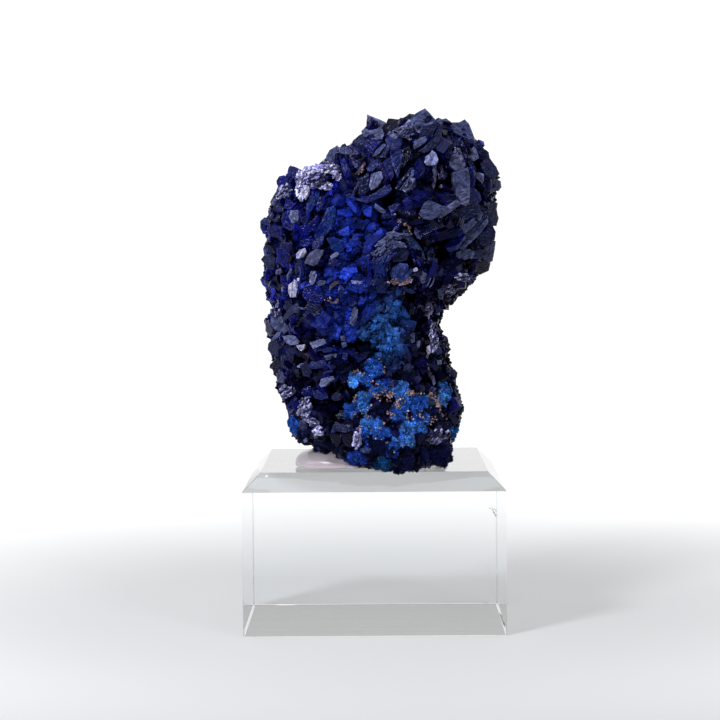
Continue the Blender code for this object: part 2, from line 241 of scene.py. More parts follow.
def smooth_copy(piece, name, times):
    """A guide skin: a smoothed copy of a piece as (tree, mesh). It leaves the scene."""
    alone(piece)
    bpy.ops.object.duplicate()
    guide = bpy.context.object
    smooth = guide.modifiers.new("smooth", "SMOOTH")
    smooth.factor, smooth.iterations = 0.5, times
    apply_all(guide)
    mesh = guide.data
    bpy.data.objects.remove(guide)
    mesh.name = name
    mesh.calc_loop_triangles()
    places = [v.co for v in mesh.vertices]
    tree = BVHTree.FromPolygons(places, [t.vertices for t in mesh.loop_triangles])
    return tree, mesh


guide_tree, guide_mesh = smooth_copy(ground, "guide", GUIDE_SMOOTHING)
hull_tree, _ = smooth_copy(ground, "hull", HULL_SMOOTHING)
print("ground:", len(ground.data.vertices), "points")


# %% Helpers that read the skins


def numbers(mesh, what):
    """The places ("co") or directions ("normal") of a mesh's vertices as an array (n, 3)."""
    values = np.empty(len(mesh.vertices) * 3, np.float32)
    mesh.vertices.foreach_get(what, values)
    return values.reshape(-1, 3).astype(float)


guide_points, guide_normals = numbers(guide_mesh, "co"), numbers(guide_mesh, "normal")
guide_triangles = np.array([t.vertices[:] for t in guide_mesh.loop_triangles])


def spots_on_skin(count, chance):
    """Evenly spread chance places on the guide skin, with the direction out at each."""
    a, b, c = (guide_points[guide_triangles[:, k]] for k in range(3))
    areas = np.linalg.norm(np.cross(b - a, c - a), axis=1)
    rows = chance.choice(len(areas), count, p=areas / areas.sum())
    first, second = chance.random(count), chance.random(count)
    over = first + second > 1
    first[over], second[over] = 1 - first[over], 1 - second[over]
    shares = np.stack([1 - first - second, first, second], axis=1)[:, :, None]
    places = (guide_points[guide_triangles[rows]] * shares).sum(axis=1)
    normals = (guide_normals[guide_triangles[rows]] * shares).sum(axis=1)
    return places, unit(normals)


def pit_depth(places):
    """How far each place lies below the smoothed hull, in metres. Ridges come out negative."""
    depth = []
    for place in places:
        near, normal, _, _ = hull_tree.find_nearest(Vector(place))
        depth.append((near - Vector(place)).dot(normal))
    return np.array(depth)


# %% [markdown]
# ## Where each colour grows
# Azurite is one mineral, but its colour here changes with the size of the crystals: the large blades at the
# upper right are almost black, blocks on the left are ultramarine, and where the crystals are as fine as
# velvet it is bright azure or teal. Each zone is a soft oval in the frame: across, down, half width, half
# height, tone. On the far side the ovals are mirrored, so the back isn't a print of the front.

# %% Tones and zones
TONES = {
    # tone: colour, size of the small crystals in mm, flatness, gloss, disorder in degrees,
    #       how far they follow the flow, how blocky the skin is, distance between blocks in mm
    "night": ((0.002, 0.003, 0.062), 0.34, 0.50, 0.58, 20, 0.9, 0.90, 1.8),
    "ultramarine": ((0.002, 0.004, 0.155), 0.34, 0.60, 0.55, 22, 0.6, 0.95, 1.6),
    "royal": ((0.014, 0.040, 0.400), 0.26, 0.60, 0.45, 30, 0.6, 0.60, 1.5),
    "teal": ((0.024, 0.100, 0.360), 0.26, 0.50, 0.42, 30, 0.4, 0.45, 1.1),
    "ink": ((0.002, 0.002, 0.036), 0.30, 0.75, 0.50, 28, 0.4, 0.75, 1.2),
    "slate": ((0.002, 0.002, 0.062), 0.34, 0.60, 0.50, 20, 0.8, 0.95, 1.6),
}
ZONES = [
    (430, 170, 78, 78, "night"),
    (400, 255, 60, 45, "night"),
    (300, 215, 50, 62, "ultramarine"),
    (275, 290, 26, 55, "ultramarine"),
    (350, 222, 34, 20, "royal"),
    (350, 265, 26, 34, "royal"),
    (330, 290, 34, 20, "royal"),
    (336, 330, 16, 24, "royal"),
    (387, 330, 15, 32, "teal"),
    (296, 325, 34, 26, "slate"),
    (310, 372, 44, 34, "slate"),
    (290, 415, 26, 30, "slate"),
    (430, 340, 32, 44, "ink"),
    (385, 400, 64, 40, "ink"),
    (380, 455, 80, 26, "ink"),
    (400, 292, 22, 12, "ink"),
]
print("tones:", len(TONES), "zones:", len(ZONES))

# %% Share every place between the tones
ZONE_WAVER = 7  # how far zone edges wander, in frame units
ZONE_EDGE = 1.6  # how fast a zone fades away from its middle
FRONT_LIMIT = -3.0 * MM  # what lies further back than this is on the far side
SPECIMEN_MIDDLE = 381  # frame column about which the far side is mirrored
# painted shade: the tint is darkened in the hollows, to about a third at this depth
HOLLOW_DARKNESS = 0.7 * MM  # at this depth of a hollow about a third of the daylight is left


def waver(places, scale, shift):
    """A smooth wandering number between -1 and 1 for each place."""
    turns = places / scale + shift
    mixed = np.sin(turns @ np.array((2.1, 1.3, 1.7))) + np.sin(turns @ np.array((-1.2, 2.3, 0.9)))
    return (mixed + np.sin(turns @ np.array((0.7, -1.1, 2.9)))) / 3


def oval(across, down, middle, height, half_width, half_height):
    """How far places of the frame lie from an oval's middle, squared. Its rim is at 1."""
    return ((across - middle) / half_width) ** 2 + ((down - height) / half_height) ** 2


def zone_shares(places):
    """How much of each tone each place has: an array (n, number of tones)."""
    across, down = frame_place(places)
    far_side = places[:, 1] > FRONT_LIMIT + 2 * MM * waver(places, 4 * MM, 5)
    across = np.where(far_side, 2 * SPECIMEN_MIDDLE - across, across)
    across = across + ZONE_WAVER * waver(places, 1.6 * MM, 0) + ZONE_WAVER / 2 * waver(places, 0.6 * MM, 1)
    down = down + ZONE_WAVER * waver(places, 1.6 * MM, 9) + ZONE_WAVER / 2 * waver(places, 0.6 * MM, 4)
    names = list(TONES)
    shares = np.full((len(places), len(names)), 1e-6)
    for *shape, tone in ZONES:
        shares[:, names.index(tone)] += np.exp(-ZONE_EDGE * oval(across, down, *shape))
    return shares / shares.sum(axis=1, keepdims=True)


# %% Sink the hollows
HOLLOWS = [
    # across, down, half width, half height, depth in mm
    (444, 250, 8, 13, 2.6), (421, 242, 4, 7, 1.4), (464, 265, 6, 4, 1.8), (412, 295, 10, 5, 1.6),
    (355, 399, 7, 6, 1.6), (338, 410, 9, 11, 2.4), (352, 344, 22, 4, 1.3), (326, 239, 4, 8, 1.8),
    (439, 184, 9, 18, 1.6), (389, 200, 6, 7, 1.3), (400, 220, 5, 5, 1.0), (394, 184, 4, 9, 1.2),
    (413, 150, 4, 6, 1.0), (382, 226, 6, 7, 1.2), (428, 352, 5, 9, 1.2), (418, 320, 7, 6, 1.2),
    (322, 188, 5, 4, 0.9), (345, 388, 12, 5, 1.5), (300, 362, 10, 4, 1.0), (440, 300, 7, 5, 1.2),
    (372, 352, 10, 4, 1.0), (330, 448, 8, 6, 1.2), (418, 455, 6, 4, 1.0), (399, 378, 12, 4, 0.9),
    (315, 268, 12, 3, 0.7), (290, 232, 3, 8, 0.8), (306, 301, 4, 8, 0.8), (425, 375, 12, 6, 0.9),
]
print("hollows:", len(HOLLOWS))


def hollow_depth(places):
    """How deep each place lies in a hollow of the front, in metres."""
    across, down = frame_place(places)
    depth = np.zeros(len(places))
    for *shape, deepest in HOLLOWS:
        depth = np.maximum(depth, deepest * MM * np.exp(-(oval(across, down, *shape) ** 1.5)))
    return np.where(places[:, 1] < FRONT_LIMIT, depth, 0)


def sink_in(places):
    """Moves places into the hollows. Returns the new places and how dark it is there, 1 for daylight: a
    painted shade that later darkens the tints.
    """
    depth = hollow_depth(places)
    return places + np.outer(depth, AHEAD), np.exp(-depth / HOLLOW_DARKNESS)


def tone_values(shares, what):
    """A tone's number or colour, mixed by the shares."""
    table = np.array([np.atleast_1d(row[what]) for row in TONES.values()], float)
    return (shares @ table).squeeze()


# %% [markdown]
# ## The outline
# Crystals that stick out all round would blur the outline. This closed line follows it round the cluster as
# the camera sees it, from the left foot clockwise. A crystal that would cross it is left out.

# %% Set the outline
OUTLINE = [
    # across, down
    (303, 448), (300, 443), (295, 441), (291, 437), (290, 430), (287, 424), (287, 417), (284, 406),
    (279, 398), (275, 389), (273, 379), (270, 373), (271, 368), (268, 366), (270, 362), (267, 350),
    (266, 342), (267, 337), (264, 332), (263, 326), (264, 320), (267, 314), (271, 308), (264, 295),
    (260, 283), (259, 277), (262, 268), (262, 255), (263, 243), (266, 239), (261, 233), (259, 223),
    (262, 217), (267, 215), (266, 210), (270, 203), (276, 188), (276, 180), (279, 176), (285, 175),
    (288, 167), (291, 165), (302, 169), (305, 165), (312, 165), (321, 161), (324, 156), (328, 148),
    (337, 144), (350, 144), (353, 138), (360, 132), (364, 126), (367, 114), (377, 119), (386, 122),
    (389, 117), (397, 118), (409, 115), (413, 114), (420, 110), (425, 108), (428, 109), (436, 119),
    (446, 118), (450, 121), (458, 122), (465, 119), (469, 124), (475, 137), (480, 139), (485, 149),
    (489, 151), (490, 158), (495, 163), (499, 170), (501, 176), (502, 187), (498, 192), (501, 203),
    (497, 206), (499, 220), (496, 231), (497, 236), (494, 239), (497, 243), (494, 249), (491, 262),
    (488, 272), (478, 277), (474, 284), (463, 297), (452, 308), (445, 317), (441, 326), (443, 334),
    (449, 340), (451, 347), (449, 354), (452, 360), (451, 365), (457, 371), (457, 383), (461, 397),
    (465, 405), (465, 413), (461, 424), (457, 440), (455, 452), (451, 461), (443, 467), (430, 467),
    (418, 472), (405, 476), (392, 475), (376, 470), (362, 472), (350, 468), (340, 462), (335, 457),
    (323, 457), (318, 452), (311, 446),
]
print("outline:", len(OUTLINE), "corners")


# %% Measure from the outline


def edge_distance(across, down, outline):
    """How far places lie inside a closed line of the frame. Outside it the distance is negative."""
    outline = np.array(outline, float)
    inside, nearest = np.zeros(len(across), bool), np.full(len(across), np.inf)
    for (x0, y0), (x1, y1) in zip(outline, np.roll(outline, -1, axis=0)):
        crosses = (y0 > down) != (y1 > down)
        inside ^= crosses & (across < x0 + (down - y0) * (x1 - x0) / (y1 - y0 + 1e-9))
        share = ((across - x0) * (x1 - x0) + (down - y0) * (y1 - y0)) / ((x1 - x0) ** 2 + (y1 - y0) ** 2)
        share = np.clip(share, 0, 1)
        aside, below = across - x0 - share * (x1 - x0), down - y0 - share * (y1 - y0)
        nearest = np.minimum(nearest, np.hypot(aside, below))
    return np.where(inside, nearest, -nearest)


FRAME_PER_METRE = FOCAL / (250 * MM)  # at the distance of the cluster


def within_outline(places, turns, sizes):
    """Which crystals stay inside the outline. Small ones keep further in, so that it isn't furry."""
    across, down = frame_place(places)
    half = (np.abs(turns @ np.array([0, 0, 1.0])) * sizes[:, 2:3]).max(axis=1) / 2
    half = np.maximum(half, sizes[:, :2].max(axis=1) / 2)
    half *= FRAME_PER_METRE
    return edge_distance(across, down, OUTLINE) > half * 1.1 - 0.3 + 0.9 * (half < 2.5)


# %% [markdown]
# ## Kinds of crystal
# Azurite grows as blocky wedges and as short blades with a cut-off tip. Each kind is modelled once, one unit
# large, with few faces because it is repeated thousands of times. A facet is a crystal whose neighbours cut
# its corners off. Eight different ones keep the larger crystals from looking alike.

# %% Model the crystals that are repeated


def finish_template(piece):
    """Leaves edit mode and returns the shape as arrays. The object goes."""
    bpy.ops.object.mode_set(mode="OBJECT")
    mesh = piece.data
    shape = {
        "points": numbers(mesh, "co"),
        "corners": np.array([loop.vertex_index for loop in mesh.loops]),
        "starts": np.array([face.loop_start for face in mesh.polygons]),
    }
    bpy.data.objects.remove(piece)
    return shape


def model_shard():
    """A block with a skewed, narrowed top: the common small crystal."""
    piece = add(bpy.ops.mesh.primitive_cube_add, "shard", size=1)
    pick("faces", lambda f: f.normal.z > 0.9)
    bpy.ops.transform.resize(value=(0.68, 0.74, 1))
    bpy.ops.transform.translate(value=(0.1, -0.06, 0))
    move("verts", lambda v: v.co.z > 0.4 and v.co.x > 0, (0, 0, -0.22))
    return finish_template(piece)


def model_wedge():
    """A block whose top runs out into a chisel edge."""
    piece = add(bpy.ops.mesh.primitive_cube_add, "wedge", size=1)
    pick("faces", lambda f: f.normal.z > 0.9)
    bpy.ops.transform.resize(value=(0.8, 0.16, 1))
    bpy.ops.transform.translate(value=(-0.06, 0.12, 0))
    move("verts", lambda v: v.co.z > 0.4 and v.co.x < 0, (0, 0, -0.3))
    return finish_template(piece)


def model_spike():
    """A three-sided spike for the velvet."""
    cone = {"vertices": 3, "radius1": 0.5, "radius2": 0.16, "depth": 1, "end_fill_type": "NGON"}
    piece = add(bpy.ops.mesh.primitive_cone_add, "spike", **cone)
    move("faces", lambda f: f.normal.z > 0.9, (0.12, 0, 0.1))
    return finish_template(piece)


def model_block_crystal():
    """A blunt block with its corners knocked off a little."""
    piece = add(bpy.ops.mesh.primitive_cube_add, "block", size=1)
    pick("faces", lambda f: abs(f.normal.y) > 0.9)
    bpy.ops.transform.resize(value=(0.8, 1, 0.86))
    move("verts", lambda v: v.co.z > 0.3, (0.3, 0, 0))
    move("verts", lambda v: v.co.z > 0.3 and v.co.x > 0, (0.05, 0, -0.14))
    return finish_template(piece)


# %% Cut the facets at chance planes
FACET_CUTS = 3  # and up to two more


def model_facet(number):
    """A crystal whose corners were cut off by its neighbours, at chance planes. Its face looks to -Y."""
    cuts = np.random.default_rng(SEED + number)
    piece = add(bpy.ops.mesh.primitive_cube_add, "facet", size=1)
    for _ in range(FACET_CUTS + number % 3):
        angle = cuts.uniform(0, 2 * math.pi)
        out = Vector((math.cos(angle), cuts.uniform(-0.8, -0.05), math.sin(angle))).normalized()
        bpy.ops.mesh.select_all(action="SELECT")
        cut = out * cuts.uniform(0.33, 0.5)
        bpy.ops.mesh.bisect(plane_co=cut, plane_no=out, use_fill=True, clear_outer=True)
    return finish_template(piece)


FACET_KINDS = 8
facets = [model_facet(number) for number in range(FACET_KINDS)]
shard, wedge, spike = model_shard(), model_wedge(), model_spike()
block_crystal = model_block_crystal()
print("faces in a shard, wedge, spike, facet:", [len(s["starts"]) for s in (shard, wedge, spike, facets[0])])

# %% [markdown]
# ## Growing many copies
# A joined mesh of many crystals is the same few points turned, stretched and moved again and again. numpy
# does that to all copies at once. Every copy carries two facts with it for the material: its tint and its
# gloss. It also gets a map in millimetres along its length, for growth lines.

# %% Join many copies into one mesh


def basis(along, outward):
    """Turns (n, 3, 3): columns are width, thickness and length. Length goes along, -thickness faces out."""
    z = unit(along)
    y = -square_to(outward, z)
    lost = np.linalg.norm(y, axis=1) < 1e-6
    y[lost] = np.cross(z[lost], (0.3, 0.5, 0.8))
    y = unit(y)
    return np.stack([np.cross(y, z), y, z], axis=2)


def carry(mesh, tints, gloss):
    """Gives each point of a mesh its tint and its gloss."""
    colours = np.ones((len(tints), 4), np.float32)
    colours[:, :3] = np.clip(tints, 0, 1)
    mesh.color_attributes.new("tint", "FLOAT_COLOR", "POINT").data.foreach_set("color", colours.ravel())
    mesh.attributes.new("gloss", "FLOAT", "POINT").data.foreach_set("value", gloss.astype(np.float32))
    mesh.shade_flat()


def piece_of(mesh):
    """A piece of the scene with that mesh."""
    piece = bpy.data.objects.new(mesh.name, mesh)
    bpy.context.collection.objects.link(piece)
    return piece


# %% Grow and join


def grow(name, shape, places, turns, sizes, tints, gloss):
    """One mesh of many copies of a crystal. sizes are width, thickness and length."""
    count, points = len(places), shape["points"]
    sized = points[None] * sizes[:, None, :]
    spread = np.einsum("nij,nvj->nvi", turns, sized) + places[:, None, :]
    mesh = bpy.data.meshes.new(name)
    mesh.vertices.add(count * len(points))
    mesh.vertices.foreach_set("co", spread.astype(np.float32).ravel())
    corners, starts = shape["corners"], shape["starts"]
    steps = np.arange(count)[:, None]
    mesh.loops.add(count * len(corners))
    mesh.loops.foreach_set("vertex_index", (corners + steps * len(points)).ravel())
    mesh.polygons.add(count * len(starts))
    mesh.polygons.foreach_set("loop_start", (starts + steps * len(corners)).ravel())
    lines = mesh.uv_layers.new(name="growth_lines")
    flat = np.stack([sized[:, :, 0] + sized[:, :, 1], sized[:, :, 2]], axis=2)[:, corners] / MM
    flat[:, :, 0] += (steps % 97) * 3.7
    lines.data.foreach_set("uv", flat.astype(np.float32).ravel())
    mesh.update(calc_edges=True)
    carry(mesh, np.repeat(tints, len(points), axis=0), np.repeat(gloss, len(points)))
    return piece_of(mesh)


def join(pieces, name):
    """Joins pieces into the first one."""
    bpy.ops.object.select_all(action="DESELECT")
    for piece in pieces:
        piece.select_set(True)
    bpy.context.view_layer.objects.active = pieces[0]
    bpy.ops.object.join()
    pieces[0].name = name
    mesh = pieces[0].data
    mesh.calc_loop_triangles()
    print(name, "has", len(mesh.loop_triangles), "triangles")
    return pieces[0]


# %% [markdown]
# ## The lamps
# Crystals are seen by what their faces mirror. A pale tent round the object would turn every face grey, so
# most of the surroundings stay moderate. Two small strong lamps give the hard white glints, and three large
# weak ones keep the shadows open. The key lamp's place is needed before the crystals are, because some faces
# are turned so that they send its light to the camera.

# %% Place the lamps
SUBJECT = Vector((1.0, -6.0, 40.0)) * MM
LAMPS = {
    # name: (place in mm, side in mm, brightness of its face)
    "key": ((-150, -190, 190), 60, 44.0),
    "second": ((170, -230, 170), 45, 24.0),
    "top": ((0, -40, 300), 200, 2.0),
    "left": ((-260, -60, 120), 140, 1.6),
    "right": ((260, -60, 120), 120, 1.2),
}
LAMP_COLOUR = (0.92, 0.95, 1.0)


def add_lamp(name, place, side, brightness):
    """A square soft lamp that faces the subject."""
    bpy.ops.object.light_add(type="AREA", location=Vector(place) * MM)
    lamp = bpy.context.object
    lamp.name = "lamp " + name
    lamp.data.size, lamp.data.color = side * MM, LAMP_COLOUR
    lamp.data.energy = brightness * math.pi * (side * MM) ** 2
    lamp.rotation_euler = (SUBJECT - lamp.location).to_track_quat("-Z", "Y").to_euler()


for lamp_name, lamp_values in LAMPS.items():
    add_lamp(lamp_name, *lamp_values)
print("lamps:", list(LAMPS))
KEY_PLACE = np.array(LAMPS["key"][0]) * MM


def mirror_normals(places):
    """The face direction at each place that mirrors the key lamp into the camera."""
    to_lamp, to_camera = KEY_PLACE - places, VIEWPOINT - places
    return unit(unit(to_lamp) + unit(to_camera))


# %% [markdown]
# ## Which way the blades run
# Neighbouring blades run nearly the same way: they fan out at the upper middle, lie in a sheaf at the right
# and in level ledges at the lower left. Each row gives a spot of the frame and the angle there, clockwise
# from upright. Between the spots the direction turns smoothly.

# %% Directions of growth
FLOW = [
    (345, 165, -12), (360, 160, 0), (374, 168, 33), (386, 154, 55), (397, 168, -8), (405, 160, 20),
    (396, 126, 62), (412, 130, 56), (430, 120, 42), (450, 126, 118), (470, 136, 145), (437, 146, 15),
    (456, 150, -20), (476, 156, 160), (491, 182, 172), (486, 208, 28), (470, 230, 42), (486, 236, 32),
    (462, 255, 60), (478, 256, 72), (430, 172, 20), (440, 190, 100), (430, 224, 80), (452, 222, 66),
    (440, 250, 10), (463, 276, 75), (448, 288, 60), (425, 285, 10), (418, 245, -25), (384, 250, 20),
    (395, 236, 80), (412, 258, 160), (384, 275, -20), (432, 305, 150), (440, 332, 165), (430, 348, 5),
    (452, 352, 160), (290, 180, 20), (284, 216, 8), (306, 204, 40), (268, 240, -6), (272, 290, 0),
    (302, 252, 40), (312, 278, 2), (334, 292, 110), (350, 222, 110), (338, 246, 60), (365, 262, 150),
    (352, 314, 20), (386, 330, 95), (320, 364, 82), (300, 345, 78), (334, 380, 78), (316, 394, 98),
    (298, 410, 30), (341, 430, 5), (320, 442, 100), (276, 330, 40), (285, 372, 30), (430, 440, 30),
]
FLOW_REACH = 15.0  # in frame units
print("directions of growth:", len(FLOW))


def flow_at(places, normals):
    """The growth direction along the skin at each place: an array (n, 3)."""
    across, down = frame_place(places)
    across = np.where(places[:, 1] > FRONT_LIMIT, 2 * SPECIMEN_MIDDLE - across, across)
    spots = np.array(FLOW, float)
    angles = np.radians(spots[:, 2])
    apart = (across[:, None] - spots[None, :, 0]) ** 2 + (down[:, None] - spots[None, :, 1]) ** 2
    weight = np.exp(-apart / (2 * FLOW_REACH**2)) + 1e-9
    to_right, up = weight @ np.sin(angles), weight @ np.cos(angles)
    flow = np.outer(to_right, RIGHT) + np.outer(up, UP)
    flow = square_to(flow, normals)
    return flow / (np.linalg.norm(flow, axis=1, keepdims=True) + 1e-9)


# %% [markdown]
# ## Blocks
# The skin isn't even: it is a mosaic of larger crystals, one to two millimetres across, each with its own
# flat face, and seams between them. Each block has a seed on the skin. What is nearest to a seed is moved
# onto the seed's plane, and sinks where two blocks meet. The seams, the sunk places and chance gaps are also
# painted darker, as painted shade.

# %% Lay out the blocks and their relief
BLOCK_TRIES = 14000
BLOCK_TILT = 0.50  # how far a block's face may lean
BLOCK_LIFT = 0.32 * MM
LEAST_RISE, MOST_RISE = -0.9 * MM, 0.6 * MM  # how far a place may move to reach its block's face
# painted shade: the chance gaps are only painted darker on the tint, and so are the seams and sunk places;
# the seam width and depth also sink the skin
GAP_PAINTED_SHADE = 0.9  # how dark the chance gaps between crystals are
SEAM_WIDTH, SEAM_DEPTH, SEAM_SHADE = 0.30 * MM, 0.70 * MM, 0.85
LOW_SHADE = 1.1 * MM  # how fast the daylight fades as a place sinks
chance = np.random.default_rng(SEED)


def chance_directions(count):
    """Evenly spread directions."""
    return unit(chance.normal(size=(count, 3)))


def scatter_blocks():
    """Seeds that keep the distance their tone asks for."""
    places, normals = spots_on_skin(BLOCK_TRIES, chance)
    spacing = tone_values(zone_shares(places), 7) * MM * chance.uniform(0.6, 1.35, BLOCK_TRIES)
    kept = []
    for number in range(BLOCK_TRIES):
        gaps = ((places[kept] - places[number]) ** 2).sum(axis=1)
        if not kept or gaps.min() > spacing[number] ** 2:
            kept.append(number)
    return places[kept], normals[kept]


block_places, block_normals = scatter_blocks()
BLOCKS = len(block_places)
block_shares = zone_shares(block_places)
block_face = unit(block_normals + BLOCK_TILT * chance_directions(BLOCKS))
block_lift = BLOCK_LIFT * chance.normal(size=BLOCKS)
block_follow = tone_values(block_shares, 5)[:, None]
block_along = block_follow * flow_at(block_places, block_normals)
block_along = block_along + (1 - block_follow) * chance_directions(BLOCKS)
block_light = chance.normal(0, 1, BLOCKS)
block_size = chance.uniform(0.8, 1.25, BLOCKS)
print("blocks:", BLOCKS)


# %% Move the skin onto the blocks


def two_nearest(places):
    """The nearest block of each place, and how much further the second nearest is."""
    nearest, margin = [], []
    for few in np.array_split(places, max(1, len(places) // 1000)):
        gaps = np.sqrt(((few[:, None] - block_places[None]) ** 2).sum(axis=2))
        order = np.argpartition(gaps, 1, axis=1)[:, :2]
        pair = np.take_along_axis(gaps, order, axis=1)
        nearest.append(np.where(pair[:, 0] < pair[:, 1], order[:, 0], order[:, 1]))
        margin.append(np.abs(pair[:, 0] - pair[:, 1]))
    return np.concatenate(nearest), np.concatenate(margin)


def relief(places, normals):
    """Places moved onto their blocks' faces and into the hollows, with their block and their daylight: a
    painted shade for the tint, darker in hollows, sunk places, chance gaps and seams, lighter on raised
    places.
    """
    block, margin = two_nearest(places)
    blocky = tone_values(zone_shares(places), 6)
    face = block_face[block]
    target = block_places[block] + face * block_lift[block][:, None]
    slope = np.maximum((face * normals).sum(axis=1), 0.4)
    rise = np.clip(((target - places) * face).sum(axis=1) / slope, LEAST_RISE, MOST_RISE)
    seam = np.exp(-margin / SEAM_WIDTH)
    shift = blocky * (0.8 * rise - SEAM_DEPTH * seam)
    moved, daylight = sink_in(places + normals * shift[:, None])
    # painted shade and light: sunk places are painted darker, raised ones a little lighter, chance gaps and
    # seams darker
    low = np.clip(1 + shift / LOW_SHADE, 0.35, 1.25)
    gaps = GAP_PAINTED_SHADE * waver(places, 0.45 * MM, 12) + 0.3 * waver(places, 0.2 * MM, 15)
    low *= np.clip(1.2 - 0.45 * blocky + gaps * blocky, 0.08, 1.3)
    return moved, block, daylight * low * (1 - SEAM_SHADE * blocky * seam)


# %% [markdown]
# ## The faces that make its character
# About two hundred crystal faces are large or bright enough to be known one by one: the crest, the hook, the
# sheaf, the white glints. Each is given by its corners in the frame, its finish and how far it stands out. A
# finish is a colour with the light on the face painted in: the white glints and the pale lit faces are
# painted highlights and painted sheen.
# The line of sight through each corner meets the face's plane, which lies along the skin there. A face isn't
# smooth: it is cut into small triangles, rises from its rim and is pushed in and out a little.

# %% Helpers that set things on the skin by their place in the frame


def on_skin(across, down):
    """Where the line of sight through a frame place meets the skin, and the way out there."""
    place, normal, _, _ = guide_tree.ray_cast(CAMERA_PLACE, sight(across, down))
    if place is None:
        far = (SUBJECT - CAMERA_PLACE).length
        place, normal, _, _ = guide_tree.find_nearest(CAMERA_PLACE + sight(across, down) * far)
    return np.array(place), np.array(normal)


def facing(right, up):
    """A direction towards the camera, turned to its right and up by degrees."""
    right, up = math.radians(right), math.radians(up)
    level = -AWAY * math.cos(right) + TO_RIGHT * math.sin(right)
    return np.array(level * math.cos(up) + UPWARDS * math.sin(up))


def along_frame(face, turn):
    """The length direction of a crystal with that face, turned clockwise from upright in the frame."""
    turn = math.radians(turn)
    wanted = np.array(UPWARDS * math.cos(turn) + TO_RIGHT * math.sin(turn))
    return wanted - face * wanted.dot(face)


# %% Name the finishes of the faces, with their painted light
FINISH_AND_PAINTED_LIGHT = {
    # finish: (colour, gloss); the pale grey-blue finishes are painted sheen on lit faces, and the palest,
    # almost white ones are painted glints
    "dark": ((0.001, 0.001, 0.008), 0.66),
    "navy": ((0.005, 0.007, 0.037), 0.60),
    "slate": ((0.010, 0.012, 0.045), 0.56),
    "steel": ((0.010, 0.014, 0.088), 0.54),
    "satin": ((0.046, 0.055, 0.132), 0.44),
    "silver": ((0.080, 0.086, 0.178), 0.44),
    "frost": ((0.150, 0.166, 0.330), 0.45),
    "grey": ((0.052, 0.053, 0.115), 0.38),
    "pale": ((0.095, 0.104, 0.215), 0.45),
    "white": ((0.300, 0.290, 0.420), 0.50),
    "veil": ((0.290, 0.262, 0.600), 0.45),
    "lilac": ((0.013, 0.013, 0.085), 0.52),
    "plum": ((0.005, 0.004, 0.046), 0.54),
    "wine": ((0.006, 0.001, 0.010), 0.45),
    "dusky": ((0.005, 0.004, 0.010), 0.48),
    "blue": ((0.002, 0.004, 0.090), 0.56),
    "royal": ((0.003, 0.014, 0.110), 0.46),
    "teal": ((0.006, 0.016, 0.068), 0.58),
    "azure": ((0.026, 0.042, 0.160), 0.34),
    "tan": ((0.060, 0.046, 0.070), 0.20),
    "clay": ((0.290, 0.180, 0.210), 0.10),
}

